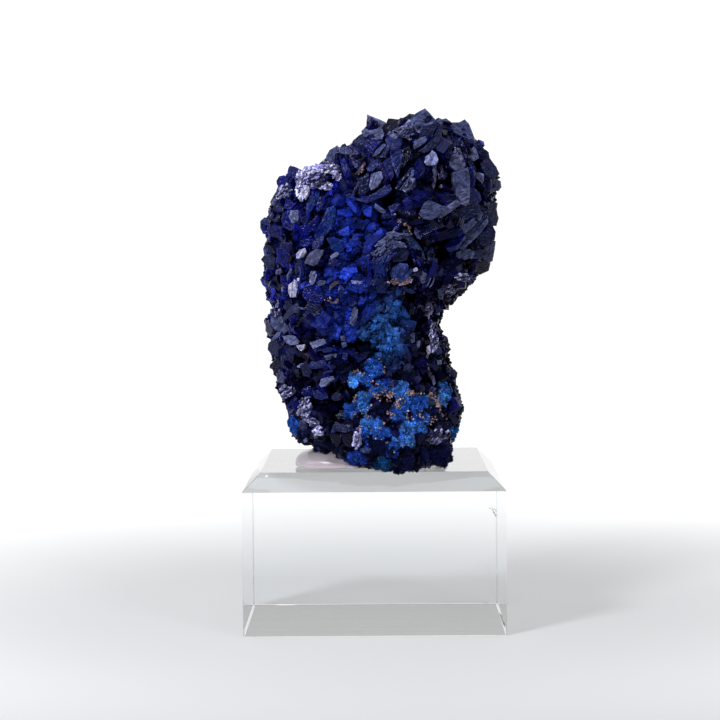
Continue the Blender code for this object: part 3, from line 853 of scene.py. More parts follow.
# %% List the faces
BRIGHT = ("white", "pale", "veil", "frost")  # these are turned to mirror the key lamp, and their pale colours are painted highlights
FACES = [
    # finish, stands out by mm, the place of its first corner in the frame: across, down,
    # then how far across and down each other corner lies from the first
    # the crest
    ("silver", 0.3, 367, 114, 10, 4, 19, 8, 14, 13, 17, 19, 15, 25, 5, 25, -3, 22, -6, 17, -1, 12),
    ("dusky", 0.1, 388, 118, 10, 1, 21, -3, 25, -2, 18, 3, 10, 9, 1, 17, -4, 15, -7, 9, -2, 5),
    ("frost", 0.5, 409, 119, 5, 6, 11, 12, 9, 19, 0, 21, -7, 17, -15, 20, -20, 16, -16, 11, -8, 9),
    ("satin", 0.6, 409, 119, 4, -4, 10, -8, 16, -11, 20, -7, 27, 1, 23, 6, 17, 6, 11, 12, 5, 6),
    ("navy", 0.4, 426, 125, 6, -1, 10, -4, 12, 0, 8, 7, 1, 15, -7, 13, -6, 6),
    ("steel", 0.4, 389, 135, 5, 4, 13, 1, 13, 9, 9, 15, 2, 16, -2, 11, -4, 4),
    ("satin", 0.7, 413, 146, 1, -5, 7, -8, 12, -10, 14, -6, 10, -2, 5, 1, 1, 3),
    ("frost", 0.8, 425, 157, 4, -3, 7, -7, 11, -4, 13, 2, 11, 7, 6, 8, 1, 8, -1, 5),
    ("slate", 0.6, 418, 151, 6, -4, 12, -10, 18, -19, 23, -27, 25, -23, 23, -13, 19, -5, 13, -1, 6, 2),
    ("satin", 0.2, 436, 120, 10, -2, 16, 2, 23, 2, 29, -1, 33, 3, 39, 18, 32, 19, 16, 11, 8, 8),
    # the right lobe
    ("silver", 0.4, 470, 152, 4, -6, 7, -2, 9, 6, 4, 9, 0, 7),
    ("silver", 0.6, 449, 156, 6, -6, 11, -8, 14, 0, 17, 9, 13, 15, 6, 14, 1, 9),
    ("navy", 0.2, 479, 139, 5, 9, 10, 13, 11, 19, 5, 21, 0, 19, -2, 11, -5, 5),
    ("slate", 0.2, 484, 160, 6, -2, 12, 6, 16, 14, 11, 18, 4, 17, -1, 10, -3, 3),
    ("pale", 0.5, 475, 173, 4, -1, 9, 1, 9, 7, 7, 10, 4, 7, 1, 4),
    ("slate", 0.2, 488, 177, 7, 1, 13, 4, 14, 10, 11, 14, 4, 15, -2, 10, -4, 4),
    # the hook
    ("satin", 1.6, 453, 172, 7, -1, 15, -5, 17, 4, 17, 14, 11, 17, 3, 17, 0, 9),
    ("silver", 1.6, 456, 189, 8, 0, 14, -3, 14, 8, 13, 15, 10, 17, 5, 15, 1, 10),
    ("silver", 1.6, 449, 205, 8, -6, 12, -1, 6, 4, 0, 8, -8, 13, -11, 8, -5, 3),
    ("satin", 1.6, 424, 203, 5, -3, 12, 0, 19, 3, 24, 3, 17, 10, 12, 15, 7, 17, -1, 16, -5, 11),
    # the sheaf
    ("satin", 0.8, 462, 226, 8, -5, 15, -11, 19, -15, 22, -13, 19, -7, 14, -2, 9, 3, 2, 8, -2, 5),
    ("slate", 0.6, 464, 234, 7, -5, 12, -9, 18, -16, 22, -22, 23, -18, 19, -12, 14, -6, 8, 0, 1, 7),
    ("satin", 0.8, 465, 241, 7, -6, 13, -12, 19, -19, 23, -23, 24, -19, 19, -12, 13, -5, 6, 2, 0, 6),
    ("satin", 0.9, 462, 246, 4, -5, 12, -7, 6, -1, 2, 4, -2, 3),
    ("navy", 0.2, 480, 238, 5, -7, 9, -14, 13, -12, 16, -6, 15, 2, 10, 5, 4, 8, -1, 6),
    ("satin", 0.5, 457, 252, 6, -2, 13, -3, 17, -1, 15, 5, 9, 8, 3, 7, -1, 4),
    ("slate", 0.6, 474, 251, 6, -2, 12, -1, 14, 4, 8, 7, 0, 8, -3, 6),
    ("pale", 0.9, 470, 257, 3, -6, 5, -6, 3, 0, 1, 1),
    ("navy", 0.2, 486, 206, 5, -6, 12, -3, 11, 4, 13, 12, 11, 20, 6, 20, 3, 12, 1, 6),
    ("navy", 0.3, 462, 206, 8, 0, 16, -2, 22, 1, 18, 6, 11, 11, 4, 14, -4, 12, -10, 8, -5, 4),
    ("steel", 0.4, 470, 187, 5, 1, 10, 6, 12, 13, 7, 18, 1, 18, 0, 10),
    ("navy", 0.2, 484, 248, 6, -5, 12, -7, 11, 2, 9, 13, 4, 16, -1, 10, 4, 6),
    ("dusky", 0.2, 472, 265, 6, -5, 13, -5, 19, -2, 17, 6, 8, 10, 2, 8),
    ("silver", -0.4, 433, 166, 3, -2, 4, 6, 3, 16, 1, 23, -1, 20, 0, 10),
    ("silver", -0.6, 439, 186, 3, -2, 4, 1, 2, 2),
    # the shell and what lies round it
    ("teal", 0.8, 402, 228, 4, 1, 10, 8, 16, 15, 22, 24, 23, 30, 19, 31, 13, 24, 7, 18, 1, 10),
    ("satin", 0.7, 415, 226, 3, 1, 5, 8, 6, 14, 2, 12, -1, 6),
    ("silver", 0.9, 384, 236, 4, -4, 10, -5, 16, -2, 18, 2, 12, 0, 6, 0, 1, 3),
    ("silver", 1.1, 394, 241, 6, 0, 11, 2, 13, 6, 8, 6, 3, 3),
    ("steel", 0.6, 384, 239, 6, -2, 7, 6, 3, 13, -1, 21, -6, 19, -5, 11, -3, 4),
    ("steel", 0.5, 391, 238, 7, 2, 5, 9, 1, 16, -3, 24, -7, 22, -3, 14),
    ("slate", 0.4, 397, 246, 8, 2, 12, 6, 10, 14, 3, 16, -4, 16, -5, 10),
    ("azure", 0.6, 392, 268, 8, -5, 16, -4, 17, 3, 11, 9, 6, 13, 0, 11, -2, 5),
    ("clay", 0.5, 391, 281, 6, 2, 12, -1, 16, -8, 19, -7, 21, -2, 17, 3, 9, 5, 2, 4),
    ("white", 0.9, 413, 269, 3, -2, 5, 0, 4, 2, 0, 3),
    ("white", 0.9, 410, 281, 2, -3, 3, -2, 1, 2, -1, 2),
    ("silver", 0.7, 419, 276, 4, -5, 8, -2, 8, 5, 4, 8, 0, 5),
    ("pale", 0.8, 429, 287, 3, -5, 5, -10, 6, -9, 4, -3, 1, 1),
    ("silver", 0.7, 426, 287, 3, -6, 5, -10, 5, -7, 2, -1),
    ("royal", 0.5, 400, 287, 6, -2, 12, 2, 16, 6, 11, 7, 4, 4),
    ("slate", 0.5, 427, 258, 6, -1, 11, 1, 10, 7, 4, 8, 0, 5),
    ("pale", 0.6, 455, 274, 5, -3, 9, -2, 12, 2, 7, 4, 2, 4),
    ("silver", 0.6, 443, 284, 5, -2, 10, 1, 9, 7, 3, 9, -1, 6),
    ("satin", 0.5, 438, 290, 4, -2, 6, 4, 5, 10, 1, 9),
    ("silver", 0.9, 376, 267, 4, -3, 9, -2, 12, 3, 8, 8, 2, 6),
    # the fan
    ("steel", 0.6, 383, 162, 6, -5, 9, 3, 11, 13, 8, 19, 5, 12, 2, 5),
    ("steel", 0.8, 390, 156, 6, -5, 11, -7, 12, 1, 10, 12, 8, 22, 5, 16, 2, 8),
    ("dark", 0.5, 402, 149, 7, -3, 10, 1, 8, 9, 2, 17, -2, 21, 0, 9),
    ("plum", 0.7, 378, 163, 4, -1, 9, 9, 11, 17, 7, 15, 3, 7),
    ("steel", 0.6, 366, 168, 5, -6, 12, -10, 12, -2, 6, 3, 2, 3),
    ("pale", 0.8, 371, 174, 5, -2, 10, -3, 12, 3, 9, 8, 5, 13, 0, 16, -2, 12, -1, 6),
    ("tan", 0.8, 364, 161, 2, 2, -2, 8, -5, 14, -9, 13, -6, 9, -3, 5),
    ("slate", 0.8, 361, 176, 2, 2, -3, 11, -8, 20, -10, 19, -6, 11, -3, 5),
    ("plum", 0.5, 347, 147, 7, -1, 13, 3, 15, 13, 11, 24, 7, 19, 3, 10),
    ("blue", 0.5, 340, 160, 4, -2, 9, 6, 13, 18, 10, 28, 6, 22, 2, 10),
    ("navy", 0.5, 363, 177, 5, -5, 7, 3, 6, 13, 1, 18, -4, 19, -5, 13),
    ("navy", 0.9, 395, 188, 5, -8, 12, -16, 17, -21, 19, -19, 12, -12, 6, -4, 2, 2),
    ("satin", 0.8, 399, 190, 5, -7, 12, -16, 15, -16, 11, -9, 5, -2),
    ("frost", 0.7, 402, 186, 4, -4, 9, -8, 13, -8, 13, -1, 8, 3, 3, 6, 0, 4),
    ("steel", 0.5, 352, 199, 8, -1, 16, -3, 24, -7, 32, -13, 38, -15, 40, -9, 34, -4, 25, 0, 15, 4),
    ("satin", 0.8, 372, 156, 4, -6, 9, -11, 12, -13, 14, -11, 9, -6, 5, 0),
    ("slate", 0.7, 379, 158, 4, -7, 8, -12, 10, -9, 6, -2),
    ("satin", 0.2, 338, 147, 7, -1, 11, 1, 14, 11, 8, 11, 2, 8),
    ("satin", 0.2, 325, 158, 4, -8, 12, -13, 16, -9, 15, 0, 9, 4, 2, 5),
    ("blue", 0.4, 366, 139, 9, 1, 17, 2, 10, 9, 6, 16, 1, 11, -2, 5),
    ("navy", 0.2, 352, 141, 8, -7, 12, -4, 14, 2, 11, 9, 5, 7),
    ("satin", 0.6, 375, 203, 5, 4, 11, 8, 9, 11, 3, 8, -1, 4),
    ("lilac", 0.5, 388, 207, 7, -4, 13, -3, 10, 3, 3, 6),
    # the upper left, with its bright arch
    ("steel", 0.3, 288, 168, 2, -3, 8, -1, 14, 2, 13, 8, 9, 13, 3, 10, -1, 6),
    ("blue", 0.3, 276, 181, 3, -5, 8, -6, 14, -3, 17, 3, 10, 5, 1, 4),
    ("silver", 0.4, 278, 187, 6, -2, 11, 1, 13, 7, 9, 12, 3, 10, 0, 5),
    ("white", 1.6, 276, 195, 3, -1, 4, 2, 2, 4, 0, 3),
    ("pale", 0.2, 271, 203, 3, -5, 5, -3, 2, 3),
    ("veil", 0.9, 304, 166, 5, 0, 3, 8, 0, 16, -4, 15, -3, 7),
    ("veil", 0.9, 309, 166, 8, -2, 17, 0, 16, 10, 9, 18, 1, 20, -4, 16, -2, 7),
    ("silver", 0.4, 326, 166, 7, 0, 14, 4, 15, 9, 8, 10, 2, 9),
    ("white", 1.3, 301, 190, 4, -5, 9, -4, 8, 1, 4, 4, 3, 9, 0, 7),
    ("white", 0.6, 322, 187, 5, -2, 10, 1, 7, 3, 2, 3),
    ("royal", 0.7, 306, 203, 4, -7, 10, -14, 14, -15, 13, -7, 9, 2, 4, 10, 0, 7),
    ("blue", 0.4, 316, 205, 3, -8, 8, -9, 10, -3, 6, 3, 1, 7),
    ("silver", 0.7, 290, 210, 8, 0, 9, 5, 7, 12, 2, 13, -1, 8),
    ("blue", 0.5, 283, 212, 6, -2, 8, 11, 13, 17, 7, 19, 0, 15, -2, 7),
    ("blue", 0.5, 285, 200, 6, 0, 9, 6, 4, 10, -1, 8),
    ("plum", 0.4, 274, 203, 5, -2, 10, 4, 9, 9, 3, 9, -2, 6),
    ("slate", 0.5, 273, 220, 5, -5, 7, -3, 5, 1, 2, 2),
    ("steel", 0.2, 260, 221, 4, -4, 9, -2, 11, 5, 8, 12, 3, 13, 0, 7),
    ("plum", 0.2, 270, 222, 11, 4, 14, 11, 8, 16, 0, 14, -3, 9),
    ("steel", 0.4, 300, 214, 6, -1, 9, 5, 5, 11, 1, 8),
    ("blue", 0.3, 300, 226, 10, -4, 18, -12, 20, -7, 15, 2, 8, 9, 2, 8),
    # the royal middle
    ("royal", 0.4, 321, 222, 6, -14, 14, -17, 15, -6, 11, 7, 3, 15, -7, 15, -4, 7),
    ("steel", 0.4, 312, 243, 5, -6, 12, -7, 10, 0, 6, 7, 0, 6),
    ("royal", 0.4, 330, 245, -4, -7, 4, -8, 12, -5, 14, 5, 7, 9, 2, 5),
    # the left
    ("white", 1.1, 296, 254, 3, -4, 9, -6, 10, -2, 6, 4, 3, 6, 0, 4),
    ("grey", 0.7, 309, 253, 7, -4, 15, -3, 12, 3, 8, 11, 4, 13, -5, 10, -3, 5),
    ("pale", 0.7, 330, 256, 4, -3, 8, -4, 9, -2, 5, 1, 1, 3),
    ("lilac", 0.5, 329, 259, 6, -2, 9, 2, 5, 8, -1, 6),
    ("pale", 0.8, 311, 271, 4, 0, 6, 4, 4, 10, 1, 14, -2, 11, -2, 5),
    ("satin", 0.5, 316, 283, 4, -3, 10, -2, 9, 1, 3, 3),
    ("white", 0.8, 288, 285, 4, -3, 6, -6, 10, -3, 10, 2, 8, 8, 7, 12, 2, 12, 0, 7),
    ("white", 0.8, 297, 278, 2, 0, 2, 3, 0, 3),
    ("satin", 0.6, 286, 276, 4, -8, 6, -7, 4, -1, 1, 5),
    ("grey", 0.2, 263, 250, 4, -1, 5, 5, 1, 7),
    ("grey", 0.9, 276, 270, 4, -2, 6, 2, 3, 5, -1, 4),
    ("pale", 1.2, 281, 287, 2, 0, 2, 4, 0, 6),
    ("pale", 1.2, 275, 304, 3, -2, 4, 1, 2, 4, 0, 3),
    ("navy", 0.2, 264, 256, 8, -3, 12, 6, 9, 14, 2, 12, -1, 6),
    ("blue", 0.3, 276, 248, 8, -2, 14, 5, 14, 14, 8, 20, 1, 14),
    ("blue", 0.4, 303, 238, 8, -2, 9, 6, 3, 10, -3, 8, -4, 3),
    ("plum", 0.4, 282, 240, 8, 3, 8, 10, 2, 10, -3, 6),
    ("blue", 0.4, 304, 288, 10, -1, 18, 2, 22, 10, 16, 16, 4, 15, -2, 8),
    ("navy", 0.4, 308, 303, 12, 1, 16, 7, 10, 15, 0, 13, -4, 6),
    ("tan", 0.6, 330, 285, 5, -4, 11, -2, 7, -1, 3, 2, -1, 6),
    ("tan", 0.6, 329, 301, 5, 1, 8, -3, 10, -1, 7, 3, 1, 2),
    ("steel", 0.4, 339, 284, 5, 4, 5, 12, 1, 14, -1, 6),
    ("slate", 0.5, 295, 263, 5, -1, 4, 7, 1, 13, -1, 7),
    ("dark", 0.5, 297, 325, 2, -6, 6, -9, 8, -7, 4, -2, 1, 2, -3, 1),
    ("navy", 0.3, 284, 301, 7, -2, 8, 5, 4, 11, -1, 7),
    ("satin", 0.4, 299, 307, 7, 1, 6, 3, 1, 2),
    # the ledges at the lower left
    ("satin", 0.4, 271, 316, 5, -5, 10, -3, 12, 6, 10, 15, 4, 14, -1, 8),
    ("slate", 0.2, 265, 322, 5, -4, 6, 4, 9, 11, 5, 15, 0, 9),
    ("satin", 0.6, 270, 340, 7, -8, 11, -9, 9, -4, 3, 1),
    ("satin", 0.5, 284, 322, 3, 0, 4, 8, 0, 12, -3, 9),
    ("navy", 0.4, 268, 343, 8, -6, 14, -1, 16, 7, 11, 14, 3, 12, -1, 6),
    ("pale", 0.8, 282, 336, 7, -1, 13, 0, 17, 5, 15, 8, 8, 9, 4, 7),
    ("white", 0.8, 296, 345, 5, 0, 9, -1, 8, 3, 5, 6, 2, 4),
    ("pale", 0.8, 309, 342, 6, -1, 10, -3, 15, -3, 17, 1, 10, 4, 4, 7),
    ("steel", 0.6, 321, 350, 6, -3, 12, -2, 10, 2, 3, 3),
    ("satin", 0.7, 324, 356, 6, -2, 13, -3, 12, 1, 6, 3, 2, 4),
    ("steel", 0.9, 310, 362, 7, -1, 15, -2, 17, 3, 11, 6, 3, 7, -2, 5),
    ("slate", 0.5, 300, 364, 7, -3, 10, 4, 12, 8, 8, 13, 3, 12),
    ("steel", 0.5, 329, 361, 4, 1, 7, 6, 2, 9, -2, 5),
    ("slate", 0.7, 322, 373, 5, -2, 10, -3, 11, -1, 5, 1, 1, 2),
    ("pale", 0.8, 319, 385, 2, -6, 8, -8, 14, -9, 15, -6, 10, -3, 7, 0, 2, 2),
    ("navy", 0.7, 333, 381, 3, -4, 4, -1, 1, 3),
    ("steel", 0.6, 312, 391, 8, -1, 15, 2, 16, 7, 9, 9, 2, 7),
    ("blue", 0.5, 302, 389, 8, -3, 11, 2, 9, 8, 3, 8, -1, 4),
    ("slate", 0.5, 332, 395, 6, -4, 10, 0, 9, 5, 3, 6, -1, 4),
    ("wine", 0.3, 302, 354, 5, -2, 9, 1, 6, 5, 1, 4),
    ("plum", 0.4, 288, 348, 7, -1, 10, 5, 5, 10, -1, 9, -3, 4),
    ("dark", 0.2, 272, 362, 5, -4, 10, 1, 9, 9, 3, 12, -1, 6),
    ("grey", 0.3, 276, 374, 6, -2, 10, 4, 7, 10, 1, 8),
    ("grey", 0.5, 289, 391, 5, -4, 7, 0, 4, 4, 1, 3),
    ("white", 0.6, 285, 390, 2, -3, 5, -2, 2, 1),
    ("white", 1.1, 302, 400, 4, -1, 5, 2, 1, 2),
    ("pale", 0.5, 297, 366, 3, -2, 3, 2, 0, 1),
    ("slate", 0.6, 280, 362, 4, 3, 8, 7, 11, 8, 8, 9, 3, 6),
    ("pale", 0.5, 304, 397, 4, -2, 7, 0, 3, 2),
    ("satin", 0.5, 341, 343, 5, -1, 6, 3, 2, 5),
    ("satin", 0.5, 340, 336, 5, 0, 5, 5, 1, 5),
    ("steel", 0.5, 344, 352, 4, 1, 3, 8, -1, 9, -2, 4),
    ("silver", 0.6, 350, 318, 3, -9, 6, -11, 8, -8, 7, 1, 3, 8, 0, 6),
    # the foot
    ("blue", 0.2, 285, 403, 5, -1, 8, 5, 9, 12, 4, 13, 1, 6),
    ("veil", 0.4, 302, 406, 6, -3, 10, -1, 10, 4, 7, 10, 4, 15, 0, 13, -1, 6),
    ("silver", 0.7, 309, 422, 5, -3, 10, -1, 10, 3, 4, 5, 0, 4),
    ("slate", 0.4, 300, 420, 7, 2, 7, 9, 1, 10, -2, 5),
    ("white", 1.2, 315, 430, 4, -2, 3, 2, 7, 1, 9, -1, 9, 3, 5, 6, 1, 5),
    ("silver", 0.6, 313, 436, 3, -2, 5, 2, 1, 3),
    ("slate", 0.5, 332, 427, 4, -6, 8, -3, 14, -2, 21, -3, 20, 3, 13, 6, 6, 4, -1, 6),
    ("dark", 0.3, 332, 434, 8, -1, 9, 8, 5, 14, 0, 8),
    ("dark", 0.5, 343, 433, 8, -2, 10, 7, 8, 15, 2, 13, -1, 7),
    ("dark", 0.5, 329, 434, 2, -1, 5, 6, 4, 12, 2, 7),
    ("silver", 0.6, 353, 433, 4, -2, 7, 4, 6, 9, 4, 15, 1, 11),
    ("satin", 0.5, 360, 449, 6, -2, 11, 0, 9, 4, 3, 4),
    ("dark", 0.3, 335, 415, 6, -5, 11, -3, 9, 4, 3, 4),
    ("silver", 1.2, 303, 440, 3, -2, 4, 2, 1, 3),
    ("dark", 0.4, 313, 439, 7, 1, 12, 0, 11, 3, 4, 3),
    ("dusky", 0.3, 302, 430, 8, 0, 13, 4, 10, 9, 3, 7),
    # the lower right
    ("white", 1.1, 430, 329, 2, 5, 3, 12, 1, 13, -1, 7),
    ("white", 1.1, 427, 346, 3, -1, 4, 6, 1, 8, -1, 4),
    ("silver", 0.5, 427, 354, 2, 1, 1, 5, -1, 3),
    ("pale", 1.0, 427, 310, 3, 6, 2, 10, 0, 6),
    ("satin", 0.4, 419, 304, 5, 2, 9, 8, 7, 10, 3, 5, -1, 3),
    ("steel", 0.4, 434, 344, 6, 2, 9, 8, 4, 11, -1, 6),
    ("slate", 0.2, 443, 334, 5, 3, 6, 8, 1, 7, -2, 3),
    ("silver", 0.5, 437, 360, 5, 0, 5, 4, 1, 5),
    ("plum", 0.2, 449, 371, 6, -2, 9, 2, 8, 7, 2, 6),
    ("silver", 0.4, 411, 332, 4, 1, 4, 10, 1, 11, -1, 6),
    ("silver", 0.9, 418, 341, 3, -1, 2, 6, -1, 8),
    ("silver", 0.4, 435, 312, 5, -1, 5, 3, 1, 3),
    ("silver", 0.4, 430, 376, 4, -1, 6, 7, 4, 9, 2, 3),
    ("slate", 0.3, 440, 372, 5, 3, 10, 7, 8, 8, 3, 5),
    ("lilac", 0.4, 414, 376, 5, -2, 8, 3, 4, 7, -1, 5),
    ("slate", 0.4, 404, 366, 6, -3, 10, 1, 6, 6, 0, 5),
]
print("faces:", len(FACES))


# %% Build the faces
FACE_TILT = 0.10
FACE_FORWARD, FACE_MIRROR = 0.7, 1.5  # how much a face turns to the camera, and a bright one to the lamp
FACE_BEND = 1.3 * MM  # how far a corner may lie before or behind the skin
FACE_DETAIL = 0.30 * MM  # side of the small triangles
FACE_DEPTH = 0.9 * MM
FACE_TAPER, WALL_SHADE = 0.88, 0.5  # its far side is this much smaller, and its tint this much darker as painted shade on the walls
LIFT_SHARE = 0.6
RIM_SLOPE, RIM_WIDTH = 0.35, 0.16 * MM
RIM_HIGHLIGHT_WIDTH = 0.06 * MM  # a rim this wide is painted lighter, as a painted highlight along the face's edge
FACE_ROUGHNESS = 0.03 * MM
SAME_PLACE = 0.002 * MM  # points closer than this are one
TO_CAMERA = -AHEAD
corner_lists = [np.array(row[2:], float).reshape(-1, 2) for row in FACES]
for corners in corner_lists:
    corners[1:] += corners[0]


def face_plane(finish, lift, corners):
    """The plane of one face: a place in it and its direction. It lies along the skin."""
    middle = corners.mean(axis=0)
    hits = [on_skin(*spot) for spot in np.vstack([corners, (corners + middle) / 2, middle])]
    depth = np.median([(place - VIEWPOINT) @ AHEAD for place, _ in hits])
    ray = np.array(sight(*middle))
    place = VIEWPOINT + ray * depth / (ray @ AHEAD)
    out = np.mean([normal for _, normal in hits], axis=0)
    out = out / np.linalg.norm(out) + FACE_FORWARD * TO_CAMERA + FACE_TILT * chance_directions(1)[0]
    if finish in BRIGHT:
        out = out / np.linalg.norm(out) + FACE_MIRROR * mirror_normals(place[None])[0]
    out /= np.linalg.norm(out)
    return place + out * lift * LIFT_SHARE * MM, out


# %% Cut a face into small triangles


def split_triangle(a, b, c, steps):
    """A triangle cut into smaller ones: points and corners."""
    rows = [(i, j) for i in range(steps + 1) for j in range(steps + 1 - i)]
    number = {row: k for k, row in enumerate(rows)}
    points = [a + (b - a) * i / steps + (c - a) * j / steps for i, j in rows]
    small = []
    for i, j in rows:
        if i + j < steps:
            small.append((number[i, j], number[i + 1, j], number[i, j + 1]))
        if i + j < steps - 1:
            small.append((number[i + 1, j], number[i + 1, j + 1], number[i, j + 1]))
    return np.array(points), np.array(small)


def rim_distance(points, outline):
    """How far each point of a face is from its rim."""
    nearest = np.full(len(points), np.inf)
    for start, end in zip(outline, np.roll(outline, -1, axis=0)):
        edge = end - start
        share = np.clip((points - start) @ edge / (edge @ edge), 0, 1)
        nearest = np.minimum(nearest, np.linalg.norm(points - start - share[:, None] * edge, axis=1))
    return nearest


# %% Shape one face


def build_face(number):
    """Points, triangles, tints, gloss and growth-line map of one face."""
    finish, lift = FACES[number][:2]
    corners = corner_lists[number]
    place, out = face_plane(finish, lift, corners)
    rays = np.array([sight(*corner) for corner in corners])
    far = ((place - VIEWPOINT) @ out) / (rays @ out)
    skin = np.array([(on_skin(*corner)[0] - VIEWPOINT) @ ray for corner, ray in zip(corners, rays)])
    middle = (place - VIEWPOINT) @ rays.mean(axis=0)
    skin = np.clip(skin, middle - FACE_BEND, middle + FACE_BEND)
    far = np.clip(far, skin - FACE_BEND, skin + FACE_BEND)
    outline = VIEWPOINT + rays * far[:, None]
    big = tessellate_polygon([[Vector(point) for point in outline]])
    points, triangles = np.empty((0, 3)), np.empty((0, 3), int)
    for a, b, c in big:
        a, b, c = outline[a], outline[b], outline[c]
        longest = max(np.linalg.norm(a - b), np.linalg.norm(b - c), np.linalg.norm(c - a))
        more, small = split_triangle(a, b, c, max(1, round(longest / FACE_DETAIL)))
        if np.cross(b - a, c - a) @ out < 0:
            small = small[:, ::-1]
        points, triangles = np.vstack([points, more]), np.vstack([triangles, small + len(points)])
    cells = np.round(points / SAME_PLACE).astype(int)
    _, first, same = np.unique(cells, axis=0, return_index=True, return_inverse=True)
    points, triangles = points[first], same.reshape(-1)[triangles]
    a, b, c = triangles.T
    triangles = triangles[(a != b) & (b != c) & (a != c)]
    rim = rim_distance(points, outline)
    flow = flow_at(place[None], out[None])[0]
    across = np.cross(flow, out)
    lines = np.stack([points @ across, points @ flow], axis=1) / MM
    rise = RIM_SLOPE * (np.minimum(rim, RIM_WIDTH) - RIM_WIDTH)
    rise += FACE_ROUGHNESS * (waver(points, 0.17 * MM, number) + 0.8 * waver(points, 0.08 * MM, number))
    points = points + out * rise[:, None]
    colour, shine = FINISH_AND_PAINTED_LIGHT[finish]
    light = np.exp(0.30 * waver(points, 0.30 * MM, number) + 0.3 * waver(points, 0.09 * MM, number + 5))
    # painted highlight: each face's rim is painted lighter
    light *= 0.95 + 0.35 * np.exp(-rim / RIM_HIGHLIGHT_WIDTH)
    return points, triangles, np.outer(light, colour), np.full(len(points), shine), lines, out


# %% Give the faces walls and join them


def walled(points, triangles, out):
    """Adds a far side and walls to a face: more points, and all triangles."""
    count, middle = len(points), points.mean(axis=0)
    far_side = middle + FACE_TAPER * (points - middle) - out * FACE_DEPTH
    if (edge_distance(*frame_place(far_side), OUTLINE) < 0).any():  # at the outline it goes straight back
        far_side += (out - TO_CAMERA) * FACE_DEPTH
    sides = np.vstack([triangles[:, [0, 1]], triangles[:, [1, 2]], triangles[:, [2, 0]]])
    key = np.sort(sides, axis=1) @ np.array((count, 1))
    _, first, times = np.unique(key, return_index=True, return_counts=True)
    start, end = sides[first[times == 1]].T
    upper = np.stack([end, start, start + count], axis=1)
    lower = np.stack([end, start + count, end + count], axis=1)
    return np.vstack([points, far_side]), np.vstack([triangles, triangles[:, ::-1] + count, upper, lower])


def build_faces(name):
    """All faces as one mesh, each a plate with walls."""
    rows, before = [], 0
    for number in range(len(FACES)):
        points, triangles, tints, shine, lines, out = build_face(number)
        points, triangles = walled(points, triangles, out)
        # painted shade: the far side and the walls get half the face's tint
        tints = np.vstack([tints, WALL_SHADE * tints])
        rows.append((points, triangles + before, tints, np.tile(shine, 2), np.tile(lines, (2, 1))))
        before += len(points)
    points, triangles, tints, shine, lines = (np.concatenate(values) for values in zip(*rows))
    mesh = bpy.data.meshes.new(name)
    mesh.from_pydata(points.tolist(), [], triangles.tolist())
    uv = mesh.uv_layers.new(name="growth_lines")
    uv.data.foreach_set("uv", lines[triangles.ravel()].astype(np.float32).ravel())
    carry(mesh, tints, shine)
    return piece_of(mesh)


large = join([build_faces("part")], "crystals_large")

# %% [markdown]
# ## Keeping room
# Other crystals leave room for the listed faces and for the velvet patches, which are listed here because
# of that. A patch is a soft oval of the frame. The dark ones lie between the bright ones.

# %% List the velvet patches and keep room
VELVET = [
    # across, down, half width, half height, tone
    (356, 378, 7, 5, "bright"), (374, 368, 9, 8, "azure"), (366, 379, 6, 4, "azure"),
    (379, 390, 8, 5, "azure"), (401, 391, 8, 8, "bright"), (363, 403, 8, 9, "bright"),
    (351, 411, 6, 6, "azure"), (416, 403, 12, 8, "azure"), (398, 412, 8, 8, "azure"),
    (372, 424, 11, 6, "bright"), (363, 432, 6, 6, "azure"), (382, 434, 7, 5, "azure"),
    (414, 428, 13, 6, "bright"), (405, 440, 10, 5, "bright"), (394, 446, 7, 4, "azure"),
    (420, 417, 9, 5, "azure"), (445, 394, 6, 11, "bright"), (431, 402, 4, 4, "pale"),
    (293, 424, 5, 10, "azure"), (356, 459, 8, 6, "deep"), (382, 465, 9, 6, "teal"),
    (450, 432, 6, 5, "teal"), (398, 272, 4, 4, "pale"), (379, 410, 6, 5, "ink"), (386, 449, 9, 6, "ink"),
    (370, 447, 9, 7, "ink"), (404, 463, 9, 7, "ink"), (444, 456, 11, 9, "ink"), (428, 453, 8, 6, "ink"),
    (456, 446, 6, 8, "deep"), (336, 449, 8, 6, "ink"), (320, 446, 8, 5, "ink"), (393, 455, 7, 4, "deep"),
    (345, 463, 6, 5, "deep"), (433, 415, 6, 5, "ink"), (385, 380, 6, 4, "deep"), (410, 375, 8, 5, "ink"),
    (424, 388, 7, 4, "ink"), (352, 425, 5, 6, "ink"), (365, 445, 6, 4, "deep"), (344, 375, 5, 5, "ink"),
    (438, 440, 7, 4, "ink"), (303, 437, 6, 6, "ink"),
]
print("velvet patches:", len(VELVET))


def uncovered(values, share, margin):
    """Keeps the crystals inside the outline and clear of faces and patches, but for a share of those."""
    places = values[0]
    across, down = frame_place(places)
    inside = np.zeros(len(places), bool)
    for corners in corner_lists:
        inside |= edge_distance(across, down, corners) > -margin
    for *shape, tone in VELVET:
        reach = margin / 4 if tone == "ink" else 1 + margin / 8
        inside |= oval(across, down, *shape) < reach**2
    inside &= places[:, 1] < FRONT_LIMIT
    bare = ~inside | (chance.random(len(places)) < share)
    bare &= within_outline(*values[:3])
    return [value[bare] for value in values]


# %% [markdown]
# ## Small crystals on the blocks
# A block's face is a parquet of small crystals that lie nearly parallel, so a whole block flashes at once.
# They take the block's face direction and tint, and add a little disorder. In the fine-grained zones the
# disorder is larger and they stand up from the face.

# %% Spread the small crystals
SMALL_COUNT = 20000
BRIGHTEST = 1.6  # times the tone


